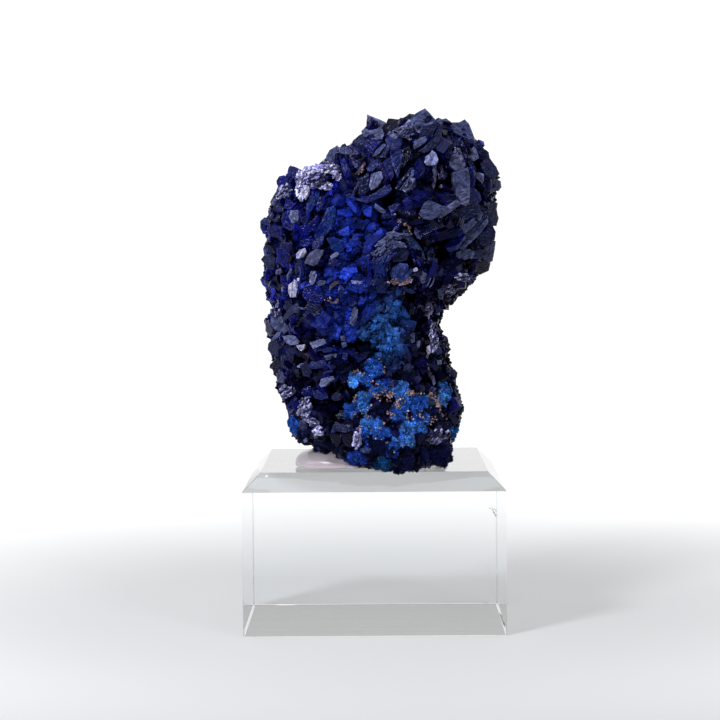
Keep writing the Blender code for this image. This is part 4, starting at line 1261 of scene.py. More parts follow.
def block_crystals(places, normals):
    """Places, turns, sizes, tints and gloss of crystals of the blocks that they belong to."""
    count, shares = len(places), zone_shares(places)
    places, block, daylight = relief(places, normals)
    disorder = np.tan(np.radians(tone_values(shares, 4)))[:, None]
    alongs = block_along[block] + disorder * chance_directions(count)
    faces = block_face[block] + disorder * chance_directions(count)
    turns = basis(square_to(alongs, faces), faces)
    size = tone_values(shares, 1) * block_size[block] * chance.uniform(0.6, 1.4, count) * MM
    flatness = tone_values(shares, 2) * chance.uniform(0.8, 1.2, count)
    width, length = size * chance.uniform(0.6, 1.1, count), size * chance.uniform(1.1, 2.4, count)
    sizes = np.stack([width, size * flatness, length], axis=1)
    # painted shade and light: places below the smoothed hull are painted darker, ridges above it lighter
    pits = np.clip(1.0 - pit_depth(places) / (1.3 * MM), 0.15, 1.4)
    evenly = 0.15 + 0.42 * tone_values(shares, 6)  # velvety tones vary less from block to block
    light = np.exp(evenly * block_light[block] + 0.40 * chance.normal(size=count) - 0.3) * pits
    # painted shade: the relief's daylight darkens the tint and lowers the gloss, which dims the mirror image
    light = np.minimum(light, BRIGHTEST) * daylight
    tints = np.clip(tone_values(shares, 0) * light[:, None], 0, 1)
    gloss = np.clip(tone_values(shares, 3) + 0.12 * chance.normal(size=count), 0.05, 1)
    return places, turns, sizes, tints, gloss * np.clip(1.4 * daylight, 0.1, 1)


def split_by_side(places):
    """Which of four pieces each crystal goes to, so that none grows too heavy."""
    across, down = frame_place(places)
    return (across > SPECIMEN_MIDDLE).astype(int) + 2 * (down > 300)


SIDE_NAMES = ["upper_left", "upper_right", "lower_left", "lower_right"]
SMALL_ON_FACES = 0.03  # share of the small crystals left standing on the listed faces
small_values = block_crystals(*spots_on_skin(SMALL_COUNT, chance))
small_values = uncovered(small_values, SMALL_ON_FACES, 0.5)
side, kind = split_by_side(small_values[0]), chance.random(len(small_values[0]))
small_pieces = []
for number, side_name in enumerate(SIDE_NAMES):
    here = side == number
    choices = ((shard, kind < 0.3), (wedge, (kind >= 0.3) & (kind < 0.55)), (block_crystal, kind >= 0.55))
    parts = [grow("part", shape, *(v[here & chosen] for v in small_values)) for shape, chosen in choices]
    small_pieces.append(join(parts, "crystals_" + side_name))

# %% [markdown]
# ## Blocks and middle crystals
# Each block is one faceted crystal, and crystals of half a millimetre to a millimetre lean on it. Together
# with the small ones they give every size from large to fine, as a natural cluster has.

# %% Set the blocks and the middle crystals
MIDDLE_COUNT = 6500
BLOCK_FILL = 1.05  # of the distance between blocks


def scatter_facets(name, values):
    """One piece from facets of all kinds, dealt in turn."""
    kind = np.arange(len(values[0])) % FACET_KINDS
    return join([grow("part", facets[k], *(v[kind == k] for v in values)) for k in range(FACET_KINDS)], name)


def block_bodies():
    """Values of one facet for each block."""
    places, _, daylight = relief(block_places, block_normals)
    # painted shade: the relief's daylight darkens each block's tint and lowers its gloss
    daylight = np.clip(1.4 * daylight, 0.1, 1)
    span = tone_values(block_shares, 7) * block_size * BLOCK_FILL * MM
    span = span * (0.6 + 0.4 * tone_values(block_shares, 6))
    width, length = span * chance.uniform(0.65, 1.0, BLOCKS), span * chance.uniform(1.0, 1.6, BLOCKS)
    sizes = np.stack([width, span * 0.7, length], axis=1)
    face = unit(block_face + 0.1 * chance_directions(BLOCKS))
    places = places - face * (sizes[:, 1:2] * 0.5 - 0.22 * MM)
    turns = basis(square_to(block_along, face), face)
    light = np.minimum(np.exp(0.5 * block_light - 0.3), BRIGHTEST) * daylight
    tints = tone_values(block_shares, 0) * light[:, None]
    gloss = np.clip(tone_values(block_shares, 3) + 0.1 * chance.normal(size=BLOCKS), 0, 1) * daylight
    return places, turns, sizes, tints, gloss


blocks = scatter_facets("crystals_blocks", uncovered(block_bodies(), 0, 4))
middle_values = list(block_crystals(*spots_on_skin(MIDDLE_COUNT, chance)))
middle_grown = chance.uniform(1.4, 3.2, (MIDDLE_COUNT, 1))
middle_values[2] = middle_values[2] * middle_grown
middle_values[0] = middle_values[0] + 0.1 * MM * middle_values[1][:, :, 1]
middle = scatter_facets("crystals_middle", uncovered(middle_values, 0, 2))

# %% [markdown]
# ## The shell
# Right of the middle, thin blades lie round a small azure core in nested arcs, like the layers of a shell.
# Each arc is a row of short blades from one angle to another, along a ring a little taller than wide.

# %% Set the shell's arcs
SHELL_MIDDLE = (399, 268)
SHELL_STRETCH = 1.12  # how much taller than wide the rings are
SHELL_CURVE = 14  # degrees by which the blades lean outwards
BLADE_THICKNESS = 0.5  # in mm
SHELL_ARCS = [
    # radius, first and last angle clockwise from upright, blades, finish, proud in mm
    (13, -105, -20, 8, "steel", 0.75), (16, -110, -60, 7, "royal", 0.80), (16, -60, -10, 6, "steel", 0.80),
    (19, -110, -50, 8, "steel", 0.85), (19, -50, 5, 7, "satin", 0.85), (22, -105, -60, 8, "royal", 0.85),
    (22, -60, -10, 8, "satin", 0.85), (25.5, -80, -45, 6, "steel", 0.85), (25.5, -45, 15, 9, "satin", 0.85),
    (28.5, -45, 12, 10, "silver", 0.9),
    (30, -105, -60, 6, "blue", 0.5), (10, 100, 190, 5, "azure", 0.75),
]


def set_shell():
    """Values of the blades along the arcs, for grow."""
    rows = []
    for radius, first, last, count, finish, proud in SHELL_ARCS:
        for number in range(count):
            angle = first + (last - first) * (number + chance.uniform(0.1, 0.9)) / count
            aside, above = math.sin(math.radians(angle)), math.cos(math.radians(angle))
            reach = radius + chance.normal(0, 0.8)
            length, width = chance.uniform(0.7, 1.9), chance.uniform(0.22, 0.44)
            face = facing(SHELL_CURVE * aside, SHELL_CURVE * above)
            along = along_frame(face, angle + 90 + chance.normal(0, 9))
            across, down = SHELL_MIDDLE[0] + reach * aside, SHELL_MIDDLE[1] - SHELL_STRETCH * reach * above
            place, _ = on_skin(across, down)
            stand = proud + chance.normal(0, 0.07) - BLADE_THICKNESS / 2
            size = (width * MM, BLADE_THICKNESS * MM, length * MM)
            # painted sheen: the shell's lit blades take the pale grey-blue finishes
            rows.append((place + face * stand * MM, along, face, size, *FINISH_AND_PAINTED_LIGHT[finish]))
    places, alongs, faces, sizes, tints, gloss = (np.array(values) for values in zip(*rows))
    return places, basis(alongs, faces), sizes, tints, gloss


shell = join([grow("part", block_crystal, *set_shell())], "crystals_shell")

# %% [markdown]
# ## Glitter
# In a few places a crowd of small faces lies in one plane and flashes white together. The brightest such
# place is an arch at the upper left. Each row is a spot in the frame, its half width and half height, and how
# many crystals it has. Their faces mirror the key lamp, with a few degrees of disorder, and their pale tints
# are painted highlights.

# %% Set the glitter
GLITTER = [
    # across, down, half width, half height, crystals, turn, paleness of the painted highlight
    (304, 194, 5, 7, 40, 10, 1.0), (303, 181, 5, 8, 44, 10, 0.8), (309, 171, 8, 6, 70, 50, 1.0),
    (320, 168, 9, 5, 60, 90, 0.9), (333, 171, 8, 4, 44, 100, 0.8), (327, 186, 8, 3, 26, 100, 0.9),
    (315, 180, 9, 7, 60, 60, 0.28), (338, 178, 5, 3, 14, 30, 0.5),
    (404, 133, 13, 7, 26, 56, 0.17), (414, 128, 7, 5, 10, 56, 0.17), (457, 152, 7, 14, 22, -15, 0.14),
    (373, 120, 7, 5, 36, 10, 0.25), (306, 407, 6, 10, 50, 20, 0.6), (312, 421, 7, 3, 20, 110, 0.5),
    (357, 438, 4, 10, 26, 10, 0.6), (435, 436, 11, 8, 36, 40, 0.45), (430, 340, 3, 16, 40, 5, 0.6),
    (286, 192, 8, 6, 30, 20, 0.4), (440, 172, 6, 8, 12, 0, 0.16), (409, 184, 6, 7, 16, 20, 0.22),
    (461, 275, 8, 4, 24, 80, 0.4), (447, 287, 6, 5, 24, 30, 0.4), (425, 306, 5, 8, 20, 30, 0.3),
    (289, 391, 5, 5, 20, 40, 0.5), (320, 430, 5, 4, 16, 70, 0.6), (278, 313, 5, 6, 16, 0, 0.4),
]
GLITTER_SIZE = 0.25 * MM
GLITTER_CROWD = 1.9
GLITTER_DISORDER = 0.18
# painted highlight: the glitter crystals get pale tints, up to this many times this colour
GLITTER_PAINTED_GLINT, GLITTER_GLINT_COLOUR, GLITTER_DARKEST = 2.25, (0.48, 0.46, 0.74), (0.008, 0.010, 0.050)


def set_glitter():
    """Values of the glitter crystals, for grow."""
    places, turns, pale = [], [], []
    for across, down, half_width, half_height, number, turn, paleness in GLITTER:
        count = int((GLITTER_CROWD + paleness) * number)
        angles, reach = chance.random(count) * 2 * math.pi, np.sqrt(chance.random(count))
        for dx, dy in np.stack([np.cos(angles) * reach, np.sin(angles) * reach], axis=1):
            place, normal = on_skin(across + dx * half_width, down + dy * half_height)
            places.append(place + normal * chance.uniform(0.35, 0.75) * MM)
        turns += [turn] * count
        pale += [paleness] * count
    places, count, pale = np.array(places), len(places), np.array(pale)
    faces = mirror_normals(places) + GLITTER_DISORDER * chance_directions(count)
    alongs = np.array([along_frame(face, turn) for face, turn in zip(faces, turns)])
    alongs += 0.25 * chance_directions(count)
    size = GLITTER_SIZE * chance.uniform(0.55, 1.6, count)
    width, length = size * chance.uniform(0.35, 0.9, count), size * chance.uniform(0.8, 2.4, count)
    sizes = np.stack([width, size * 0.6, length], axis=1)
    # painted highlight: a share of the glitter crystals is painted almost white
    bright = chance.random(count) ** (3.2 - 2.2 * pale)
    tints = np.clip(np.outer(GLITTER_PAINTED_GLINT * bright * pale, GLITTER_GLINT_COLOUR) + GLITTER_DARKEST, 0, 0.95)
    return uncovered([places, basis(alongs, faces), sizes, tints, 0.15 + 0.45 * bright], 1, 0)


glitter = join([grow("part", block_crystal, *set_glitter())], "crystals_glitter")

# %% [markdown]
# ## Velvet patches
# Low on the front lie bright azure patches one to three millimetres wide. They are made of fibres too fine
# to see, so they look like velvet. A patch is a few lumps that run together, each an uneven round core
# covered with short spikes. Dark patches lie between the bright ones, as a piece of their own.

# %% Set the velvet patches
LUMP_RADIUS = 0.54  # in mm
PATCH_TONES = {
    "azure": (0.026, 0.125, 0.640),
    "bright": (0.060, 0.225, 0.800),
    "deep": (0.012, 0.045, 0.320),
    "teal": (0.010, 0.080, 0.250),
    "pale": (0.060, 0.120, 0.250),
    "ink": (0.003, 0.005, 0.045),
}
SPIKES_PER_MM2 = 45
INK_SPIKES = 0.5  # the share of them that dark lumps have


def model_core():
    """A round core for a lump."""
    return finish_template(add(bpy.ops.mesh.primitive_ico_sphere_add, "core", subdivisions=2, radius=1))


def lump_rows():
    """One row for each lump: its middle, the way out, its radius, its colour and its tone."""
    rows = []
    for across, down, half_width, half_height, tone in VELVET:
        count = max(3, int(half_width * half_height / 5))
        for number in range(count):
            angle, reach = 2.4 * number + chance.uniform(0, 0.8), math.sqrt((number + 0.3) / count)
            aside, below = half_width * reach * math.cos(angle), half_height * reach * math.sin(angle)
            place, normal = on_skin(across + aside, down + below)
            radius = LUMP_RADIUS * chance.uniform(0.75, 1.25) * MM
            colour = np.array(PATCH_TONES[tone]) * math.exp(0.30 * chance.normal())
            rows.append((place - normal * 0.5 * radius, normal, radius, colour, tone))
    return rows


# %% Cover the lumps with spikes
LUMPS = lump_rows()
print("velvet lumps:", len(LUMPS))


def uneven(out, number):
    """How far a lump's surface stands out in each direction, in parts of its radius."""
    return 1 + 0.16 * waver(out, 0.7, number) + 0.10 * waver(out, 0.25, number + 3)


def set_fuzz(number):
    """Values of the spikes on one lump."""
    middle, normal, radius, colour, tone = LUMPS[number]
    crowd = SPIKES_PER_MM2 * (INK_SPIKES if tone == "ink" else 1)
    count = int(crowd * 4 * math.pi * (radius / MM) ** 2)
    out = chance_directions(count)
    out = out[out @ normal > -0.2]
    count = len(out)
    places = middle + out * radius * uneven(out, number)[:, None]
    turns = basis(out + 0.5 * chance_directions(count), chance_directions(count))
    size = chance.uniform(0.06, 0.12, count) * MM
    sizes = np.stack([size, size, size * chance.uniform(1.2, 2.4, count)], axis=1)
    light = np.exp(0.75 * chance.normal(size=count) + 0.8 * waver(places, 0.22 * MM, 8) - 0.25)
    # painted shade: spikes that lie along the skin are painted darker than those that point out from it
    light *= 0.35 + 0.85 * np.clip(out @ normal, 0, 1)
    shine = 0.5 if tone == "ink" else 0.1
    return places, turns, sizes, np.clip(np.outer(light, colour), 0, 1), np.full(count, shine)


# %% Make the two velvet pieces
# painted shade: the cores under the spikes are painted with this share of the patch colour
CORE_SHADE = 0.45
core = model_core()


def grow_velvet(name, which):
    """One piece from some of the lumps: their spikes and their uneven cores."""
    spikes = zip(*(set_fuzz(number) for number in which))
    fuzz = grow("part", spike, *(np.concatenate(values) for values in spikes))
    middles, radii, tints = (np.array([LUMPS[number][k] for number in which]) for k in (0, 2, 3))
    count, tints = len(which), np.clip(tints * CORE_SHADE, 0, 1)
    level = np.tile(np.identity(3), (count, 1, 1))
    cores = grow("part", core, middles, level, np.ones((count, 3)), tints, np.full(count, 0.1))
    swell = np.stack([uneven(core["points"], number) for number in which])
    shaped = middles[:, None, :] + core["points"][None] * (swell * radii[:, None])[:, :, None]
    cores.data.vertices.foreach_set("co", shaped.astype(np.float32).ravel())
    cores.data.shade_smooth()
    return join([fuzz, cores], name)


DARK_TONES = ("ink", "deep", "teal")
dark_lumps = [number for number, row in enumerate(LUMPS) if row[4] in DARK_TONES]
velvet = grow_velvet("velvet", [number for number in range(len(LUMPS)) if number not in dark_lumps])
dark_velvet = grow_velvet("dark_velvet", dark_lumps)

# %% [markdown]
# ## Fine crust
# Between the velvet patches and the blocks lies a crust as fine as sugar, in the colour of its zone. It is
# where the royal blue and the teal come from.

# %% Spread the fine crust
CRUST_COUNT = 14000
FINE_TONES = ("royal", "teal", "ink")
crust_places, crust_normals = spots_on_skin(CRUST_COUNT * 3, chance)
fine_share = sum(zone_shares(crust_places)[:, list(TONES).index(tone)] for tone in FINE_TONES)
keep = chance.random(len(crust_places)) < 0.15 + 0.85 * fine_share
crust_places, crust_normals = crust_places[keep][:CRUST_COUNT], crust_normals[keep][:CRUST_COUNT]
count = len(crust_places)
crust_places = crust_places + crust_normals * chance.uniform(-0.05, 0.35, count)[:, None] * MM
crust_places, _, _, tints, gloss = block_crystals(crust_places, crust_normals)
size = chance.uniform(0.14, 0.32, count) * MM
sizes = np.stack([size, size * 0.8, size * chance.uniform(1.0, 2.2, count)], axis=1)
turns = basis(crust_normals + 0.7 * chance_directions(count), chance_directions(count))
crust_values = uncovered([crust_places, turns, sizes, tints, gloss * 0.8], 0, 0)
crust = join([grow("part", shard, *crust_values)], "fine_crust")

# %% [markdown]
# ## Clay
# Traces of the pinkish tan clay that the cluster grew in are left in its hollows, mostly round the
# velvet patches. They are rough crumbs, so a small ball with its points pushed about is enough.

# %% Set the clay crumbs
CLAY = [
    # across, down, half width, half height, crumbs
    (410, 394, 6, 3, 70), (430, 396, 4, 5, 60), (437, 404, 3, 5, 60), (398, 404, 3, 6, 60),
    (390, 396, 4, 5, 44), (378, 396, 4, 4, 22), (355, 398, 2, 4, 14), (408, 418, 4, 3, 14),
    (385, 392, 5, 4, 16), (357, 373, 5, 2, 10), (401, 220, 2.5, 1.2, 16), (405, 223, 2.5, 1.5, 16),
    (409, 228, 2, 2.5, 16), (411, 232, 1.2, 2, 8), (396, 281, 8, 2, 40), (408, 275, 4, 5, 30),
    (384, 372, 4, 3, 10), (366, 416, 3, 3, 10), (420, 417, 4, 3, 12), (330, 300, 5, 2, 10),
    (364, 168, 3, 6, 14), (400, 240, 6, 3, 6), (392, 415, 3, 5, 16), (430, 420, 6, 4, 16),
    (440, 415, 4, 4, 12), (412, 213, 14, 3, 12),
]
RIM_CRUMBS = 7  # round each azure or bright patch
crumb_colours = np.array(((0.33, 0.20, 0.19), (0.42, 0.29, 0.29), (0.17, 0.11, 0.13), (0.50, 0.41, 0.44)))


def model_crumb():
    """A rough little ball."""
    piece = add(bpy.ops.mesh.primitive_ico_sphere_add, "crumb", subdivisions=1, radius=0.5)
    bpy.ops.mesh.select_all(action="SELECT")
    bpy.ops.transform.vertex_random(offset=0.16, seed=SEED)
    return finish_template(piece)


def set_clay():
    """Values of the crumbs, for grow."""
    places = []
    for across, down, half_width, half_height, tone in VELVET:
        for angle in chance.uniform(0, 2 * math.pi, RIM_CRUMBS if tone in ("azure", "bright") else 0):
            reach = chance.uniform(1.0, 1.25)
            spot = across + reach * half_width * math.cos(angle), down + reach * half_height * math.sin(angle)
            if all(oval(*spot, *row[:4]) >= 0.9 for row in VELVET):
                place, normal = on_skin(*spot)
                places.append(place + normal * chance.uniform(0.25, 0.5) * MM)
    for across, down, half_width, half_height, count in CLAY:
        for dx, dy in np.clip(chance.normal(0, 0.5, (count, 2)), -1.2, 1.2):
            place, normal = on_skin(across + dx * half_width, down + dy * half_height)
            places.append(place + normal * chance.uniform(0.1, 0.4) * MM)
    places = np.array(places)
    places = places[edge_distance(*frame_place(places), OUTLINE) > 1.5]  # none beside the cluster
    count = len(places)
    size = chance.uniform(0.08, 0.27, count)[:, None] * MM * chance.uniform(0.7, 1.3, (count, 3))
    tints = crumb_colours[chance.integers(0, 4, count)] * chance.uniform(0.6, 1.15, count)[:, None]
    return places, basis(chance_directions(count), chance_directions(count)), size, tints, np.zeros(count)


clay = join([grow("part", model_crumb(), *set_clay())], "clay_crumbs")

# %% [markdown]
# ## Materials
# All crystals share one recipe: a tint and a gloss that each crystal carries, growth lines along its length,
# and a fine grain. Azurite bends light strongly, so its refractive index is 1.73. Its faces are finely
# pitted, which swallows most of the mirror image and turns the rest blue, more so where the gloss is low. The
# gloss is lowered where painted shade darkens the tint, so the mirror image is dimmed there too. The velvet
# is rough with a little sheen. The clay is rough and dull.

# %% Build the crystal materials
PITTED = 0.14  # 0.5 is a whole face; fine pits swallow most of the reflection
MIRROR_TINT = (0.62, 0.67, 1.0)
WARP = 0.2 * MM  # how far the tiny faces are pushed out of a regular grid
GRAIN_SCALE, CLOUD_SCALE, CELL_SCALE = 2600.0, 1500.0, 5000.0  # repeats in a metre
LINE_STRETCH = (6.0, 0.6, 1.0)  # growth lines: many across a crystal, few along it


def fill(node, inputs):
    """Fills a node's inputs: an output of another node is linked, anything else is a value."""
    for key, value in inputs.items():
        if isinstance(value, bpy.types.NodeSocket):
            node.id_data.links.new(value, node.inputs[key])
        else:
            node.inputs[key].default_value = value


def new_material(name):
    """An empty Principled material, its shader and a function that adds a node."""
    material = bpy.data.materials.new(name)
    material.use_nodes = True
    tree = material.node_tree

    def node(kind, inputs=None, **settings):
        made = tree.nodes.new(kind)
        for key, value in settings.items():
            setattr(made, key, value)
        fill(made, inputs or {})
        return made

    return material, tree.nodes["Principled BSDF"], node


def ranged(node, value, low, high, lowest, highest, **settings):
    """What a Map Range node makes of a value: it moves it from one range to another."""
    inputs = {"Value": value, "From Min": low, "From Max": high, "To Min": lowest, "To Max": highest}
    return node("ShaderNodeMapRange", inputs, **settings).outputs["Result"]


def number_of(node, operation, *values):
    """What a Math node makes of some values."""
    return node("ShaderNodeMath", dict(enumerate(values)), operation=operation).outputs["Value"]


def vector_of(node, operation, *values):
    """What a Vector Math node makes of some values."""
    return node("ShaderNodeVectorMath", dict(enumerate(values)), operation=operation).outputs["Vector"]


# %% The recipe of the crystals


def crystal_material(name, index, rough, line_depth, grain_depth, sheen, lean, speckled, streaked):
    """Tint and gloss from the crystal, growth lines from its map, grain and tiny faces from its place."""
    material, shader, node = new_material(name)
    place = node("ShaderNodeTexCoord").outputs["Object"]
    tint = node("ShaderNodeAttribute", attribute_name="tint").outputs["Color"]
    gloss = node("ShaderNodeAttribute", attribute_name="gloss").outputs["Fac"]
    noise = {"Vector": place, "Detail": 4.0}
    speck = node("ShaderNodeTexNoise", {**noise, "Scale": GRAIN_SCALE, "Roughness": 0.7}).outputs["Fac"]
    cloud = node("ShaderNodeTexNoise", {**noise, "Scale": CLOUD_SCALE, "Roughness": 0.65})

    # a mosaic of tiny faces, each leaning its own way and a little lighter or darker
    warped = vector_of(node, "MULTIPLY_ADD", cloud.outputs["Color"], (WARP, WARP, WARP), place)
    cells = node("ShaderNodeTexVoronoi", {"Vector": warped, "Scale": CELL_SCALE}).outputs["Color"]
    level = node("ShaderNodeNewGeometry").outputs["Normal"]
    centred = vector_of(node, "SUBTRACT", cells, (0.5, 0.5, 0.5))
    leaning = vector_of(node, "MULTIPLY_ADD", centred, (lean, lean, lean), level)
    leaning = vector_of(node, "NORMALIZE", leaning)
    cell_light = node("ShaderNodeSeparateXYZ", {"Vector": cells}).outputs["X"]
    speckle = ranged(node, cell_light, 0.0, 1.0, 1 - speckled, 1 + 1.2 * speckled)
    mottle = ranged(node, cloud.outputs["Fac"], 0.32, 0.68, 0.45, 1.6)
    tinted = vector_of(node, "MULTIPLY", tint, number_of(node, "MULTIPLY", mottle, speckle))

    # gloss: the grain dulls it in places
    dull = number_of(node, "MULTIPLY_ADD", speck, 0.35, -0.17)
    shine = number_of(node, "SUBTRACT", gloss, dull)
    roughness = ranged(node, shine, 0.0, 1.0, rough[1], rough[0])

    # growth lines, in relief and in colour, and the grain on top
    map_place = node("ShaderNodeUVMap", uv_map="growth_lines").outputs["UV"]
    stretched = node("ShaderNodeMapping", {"Vector": map_place, "Scale": LINE_STRETCH}).outputs["Vector"]
    lines = node("ShaderNodeTexNoise", {"Vector": stretched, "Scale": 1.0, "Detail": 3.0}).outputs["Fac"]
    ribs = node("ShaderNodeBump", {"Height": lines, "Distance": line_depth, "Strength": 1.0,
                                   "Normal": leaning})
    streaks = ranged(node, lines, 0.35, 0.65, 1 - streaked, 1 + 1.3 * streaked)
    grain = node("ShaderNodeBump", {"Height": speck, "Distance": grain_depth, "Strength": 1.0,
                                    "Normal": ribs.outputs["Normal"]})

    # the mirror image: weak, bluish, and weaker on dull crystals; the gloss is lowered where painted shade
    # darkens the tint, so the mirror image is dimmed there as painted shade too
    mirror = ranged(node, gloss, 0.1, 0.6, 0.12, 1.0)
    fill(shader, {
        "Base Color": vector_of(node, "MULTIPLY", tinted, streaks),
        "Roughness": roughness,
        "Normal": grain.outputs["Normal"],
        "Specular Tint": vector_of(node, "MULTIPLY", MIRROR_TINT, mirror),
        "IOR": index,
        "Specular IOR Level": PITTED,
        "Sheen Weight": sheen,
    })
    return material


# %% Four finishes from one recipe
azurite = crystal_material(
    "azurite_crystal", index=1.73, rough=(0.05, 0.5), line_depth=0.035 * MM, grain_depth=0.008 * MM,
    sheen=0.0, lean=0.22, speckled=0.5, streaked=0.3,
)
azurite_face = crystal_material(
    "azurite_face", index=1.73, rough=(0.05, 0.5), line_depth=0.06 * MM, grain_depth=0.008 * MM,
    sheen=0.0, lean=0.12, speckled=0.3, streaked=0.55,
)
velvet_blue = crystal_material(
    "azurite_velvet", index=1.6, rough=(0.35, 0.95), line_depth=0.02 * MM, grain_depth=0.02 * MM,
    sheen=0.05, lean=0.3, speckled=0.5, streaked=0,
)
clay_tan = crystal_material(
    "clay", index=1.45, rough=(0.8, 1.0), line_depth=0.02 * MM, grain_depth=0.06 * MM,
    sheen=0.0, lean=0.3, speckled=0.5, streaked=0,
)
print("nodes in the crystal material:", len(azurite.node_tree.nodes))

# %% [markdown]
# ## Dressing the ground
# The ground itself is what shows at the bottom of the cracks. It takes the colour of its zone, painted a
# little darker as shade at the bottom of the cracks and darker still by the relief's painted daylight, and it
# is sunk so that the crystals stand on it rather than in it. Where it would reach past the outline it is
# drawn in towards the middle of the cluster.

# %% Colour and sink the ground
GROUND_SINK = 0.25 * MM
GROUND_SHADE, GROUND_GLOSS = 0.8, 0.3
TUCK = 2.0  # how far the ground stays inside the outline, in frame units
places, normals = numbers(ground.data, "co"), numbers(ground.data, "normal")
rough_ground = 0.12 * MM * waver(places, 0.3 * MM, 2) + 0.1 * MM * waver(places, 0.14 * MM, 6)
sunk, _, daylight = relief(places - normals * GROUND_SINK + normals * rough_ground[:, None], normals)
over = np.maximum(TUCK - edge_distance(*frame_place(sunk), OUTLINE), 0) / FRAME_PER_METRE
sunk += unit(np.array(SUBJECT) - sunk) * over[:, None]
ground.data.vertices.foreach_set("co", sunk.astype(np.float32).ravel())
# painted shade: the ground's tint is darkened by GROUND_SHADE and by the relief's daylight
ground_tints = tone_values(zone_shares(places), 0) * GROUND_SHADE * daylight[:, None]
ground.data.uv_layers.new(name="growth_lines")
ground.data.update()
carry(ground.data, ground_tints, np.full(len(places), GROUND_GLOSS))

FINISHED = (
    (azurite, (ground, glitter, crust, *small_pieces)),
    (azurite_face, (blocks, middle, large, shell)),
    (velvet_blue, (velvet, dark_velvet)),
    (clay_tan, (clay,)),
)
for material, pieces in FINISHED:
    for piece in pieces:
        piece.data.materials.clear()
        piece.data.materials.append(material)
        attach(piece, "root")
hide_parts("azurite_specimen")
print("pieces of the stone:", sum(len(pieces) for _, pieces in FINISHED))

# %% [markdown]
# ## The acrylic block
# Cast acrylic is clear. It absorbs a little of the light that crosses it, red most, which leaves the
# faintest green. Its faces are polished flat and its edges are broken by a hair, which is what draws the thin
# bright lines round it. The node keeps its mesh: a Weld and a Bevel modifier round the edges.

# %% Finish the block
EDGE_BREAK = 0.14 * MM
HAZE, HAZE_SCALE = 0.08, 900.0  # how much rougher the rubbed spots are, and how small


def clear_material(name, colour, passed, density, index, roughness, polish, clear):
    """Clear material: light passes and is absorbed a little on its way. The polish is slightly uneven."""
    material, shader, node = new_material(name)
    strength, scale, depth = polish
    place = node("ShaderNodeTexCoord").outputs["Object"]
    swirl = node("ShaderNodeTexNoise", {"Vector": place, "Scale": scale, "Detail": 2.0})
    waves = node("ShaderNodeBump", {"Height": swirl.outputs["Fac"], "Distance": depth, "Strength": strength})
    haze = node("ShaderNodeTexNoise", {"Vector": place, "Scale": HAZE_SCALE, "Detail": 6.0, "Roughness": 0.8})
    inside = node("ShaderNodeVolumeAbsorption", {"Color": (*passed, 1.0), "Density": density})
    fill(material.node_tree.nodes["Material Output"], {"Volume": inside.outputs["Volume"]})
    fill(shader, {
        "Base Color": (*colour, 1.0),
        "Roughness": ranged(node, haze.outputs["Fac"], 0.55, 0.8, roughness, roughness + HAZE),
        "Normal": waves.outputs["Normal"],
        "Transmission Weight": clear,
        "IOR": index,
    })
    return material


acrylic = clear_material(
    "acrylic", colour=(1.0, 1.0, 1.0), passed=(0.80, 0.84, 0.84), density=12.0, index=1.49, roughness=0.0,
    polish=(0.15, 60.0, 0.05 * MM), clear=1.0,
)
block = bpy.data.objects["acrylic_block"]
block.data.materials[0] = acrylic
weld = block.modifiers.new("weld", "WELD")
weld.merge_threshold = 1e-6
edges = block.modifiers.new("broken edges", "BEVEL")
edges.width, edges.segments, edges.limit_method = EDGE_BREAK, 2, "ANGLE"
edges.angle_limit = math.radians(20)
print("the block's edges are broken by", round(EDGE_BREAK / MM, 2), "mm")

# %% [markdown]
# ## Wear on the block
# A block that is handled gets chips on its top bevel, a brown scratch across its right edge and a bruise in
# a lower corner. Each mark is a short row of flat crumbs on the face where it is seen.

# %% Set the marks on the block
MARKS = [
    # from across, down, to across, down, crumbs, side of a crumb in mm, colour
    (489, 508, 497, 511, 24, 0.07, "rust"), (493, 511, 496, 516, 24, 0.09, "rust"),
    (500, 614, 505, 626, 44, 0.12, "bruise"), (481, 603, 487, 603, 14, 0.07, "bruise"),
    (265, 477, 268, 476, 10, 0.13, "chip"), (255, 482, 256, 481, 5, 0.09, "chip"),
    (268, 538, 269, 540, 4, 0.08, "chip"),
]
MARK_COLOURS = {"rust": (0.30, 0.17, 0.16), "bruise": (0.13, 0.16, 0.16), "chip": (0.85, 0.85, 0.85)}
MARK_THICKNESS, MARK_WANDER = 0.02 * MM, 0.5
block_corners = [v.co for v in block.data.vertices]
block_tree = BVHTree.FromPolygons(block_corners, [p.vertices for p in block.data.polygons])


def set_marks():
    """Values of the crumbs of all marks, for grow."""
    wear = np.random.default_rng(SEED)
    rows = []
    for across, down, last_across, last_down, count, side, colour in MARKS:
        for share in np.linspace(0, 1, count):
            wander = MARK_WANDER * wear.normal(size=2)
            spot = sight(across + share * (last_across - across) + wander[0],
                         down + share * (last_down - down) + wander[1])
            place, normal, _, _ = block_tree.ray_cast(CAMERA_PLACE, spot)
            width, length = side * MM * wear.uniform(0.4, 1.3, 2)
            size = (width, MARK_THICKNESS, length)
            rows.append((place, normal, wear.normal(size=3), size, MARK_COLOURS[colour]))
    places, normals, alongs, sizes, tints = (np.array(values) for values in zip(*rows))
    return places, basis(square_to(alongs, normals), normals), sizes, tints, np.zeros(len(rows))


marks = join([grow("part", shard, *set_marks())], "block_marks")
marks.data.materials.append(clay_tan)
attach(marks, "root")

# %% [markdown]
# ## The putty
# A pinch of clear mineral putty was pressed flat under the cluster and bulges out at its left. It is soft,
# so it has a round rim and a slightly uneven skin. It starts as a sphere that is flattened, squared a
# little, and made lower towards the right. Its underside is cut off level, just above the block.

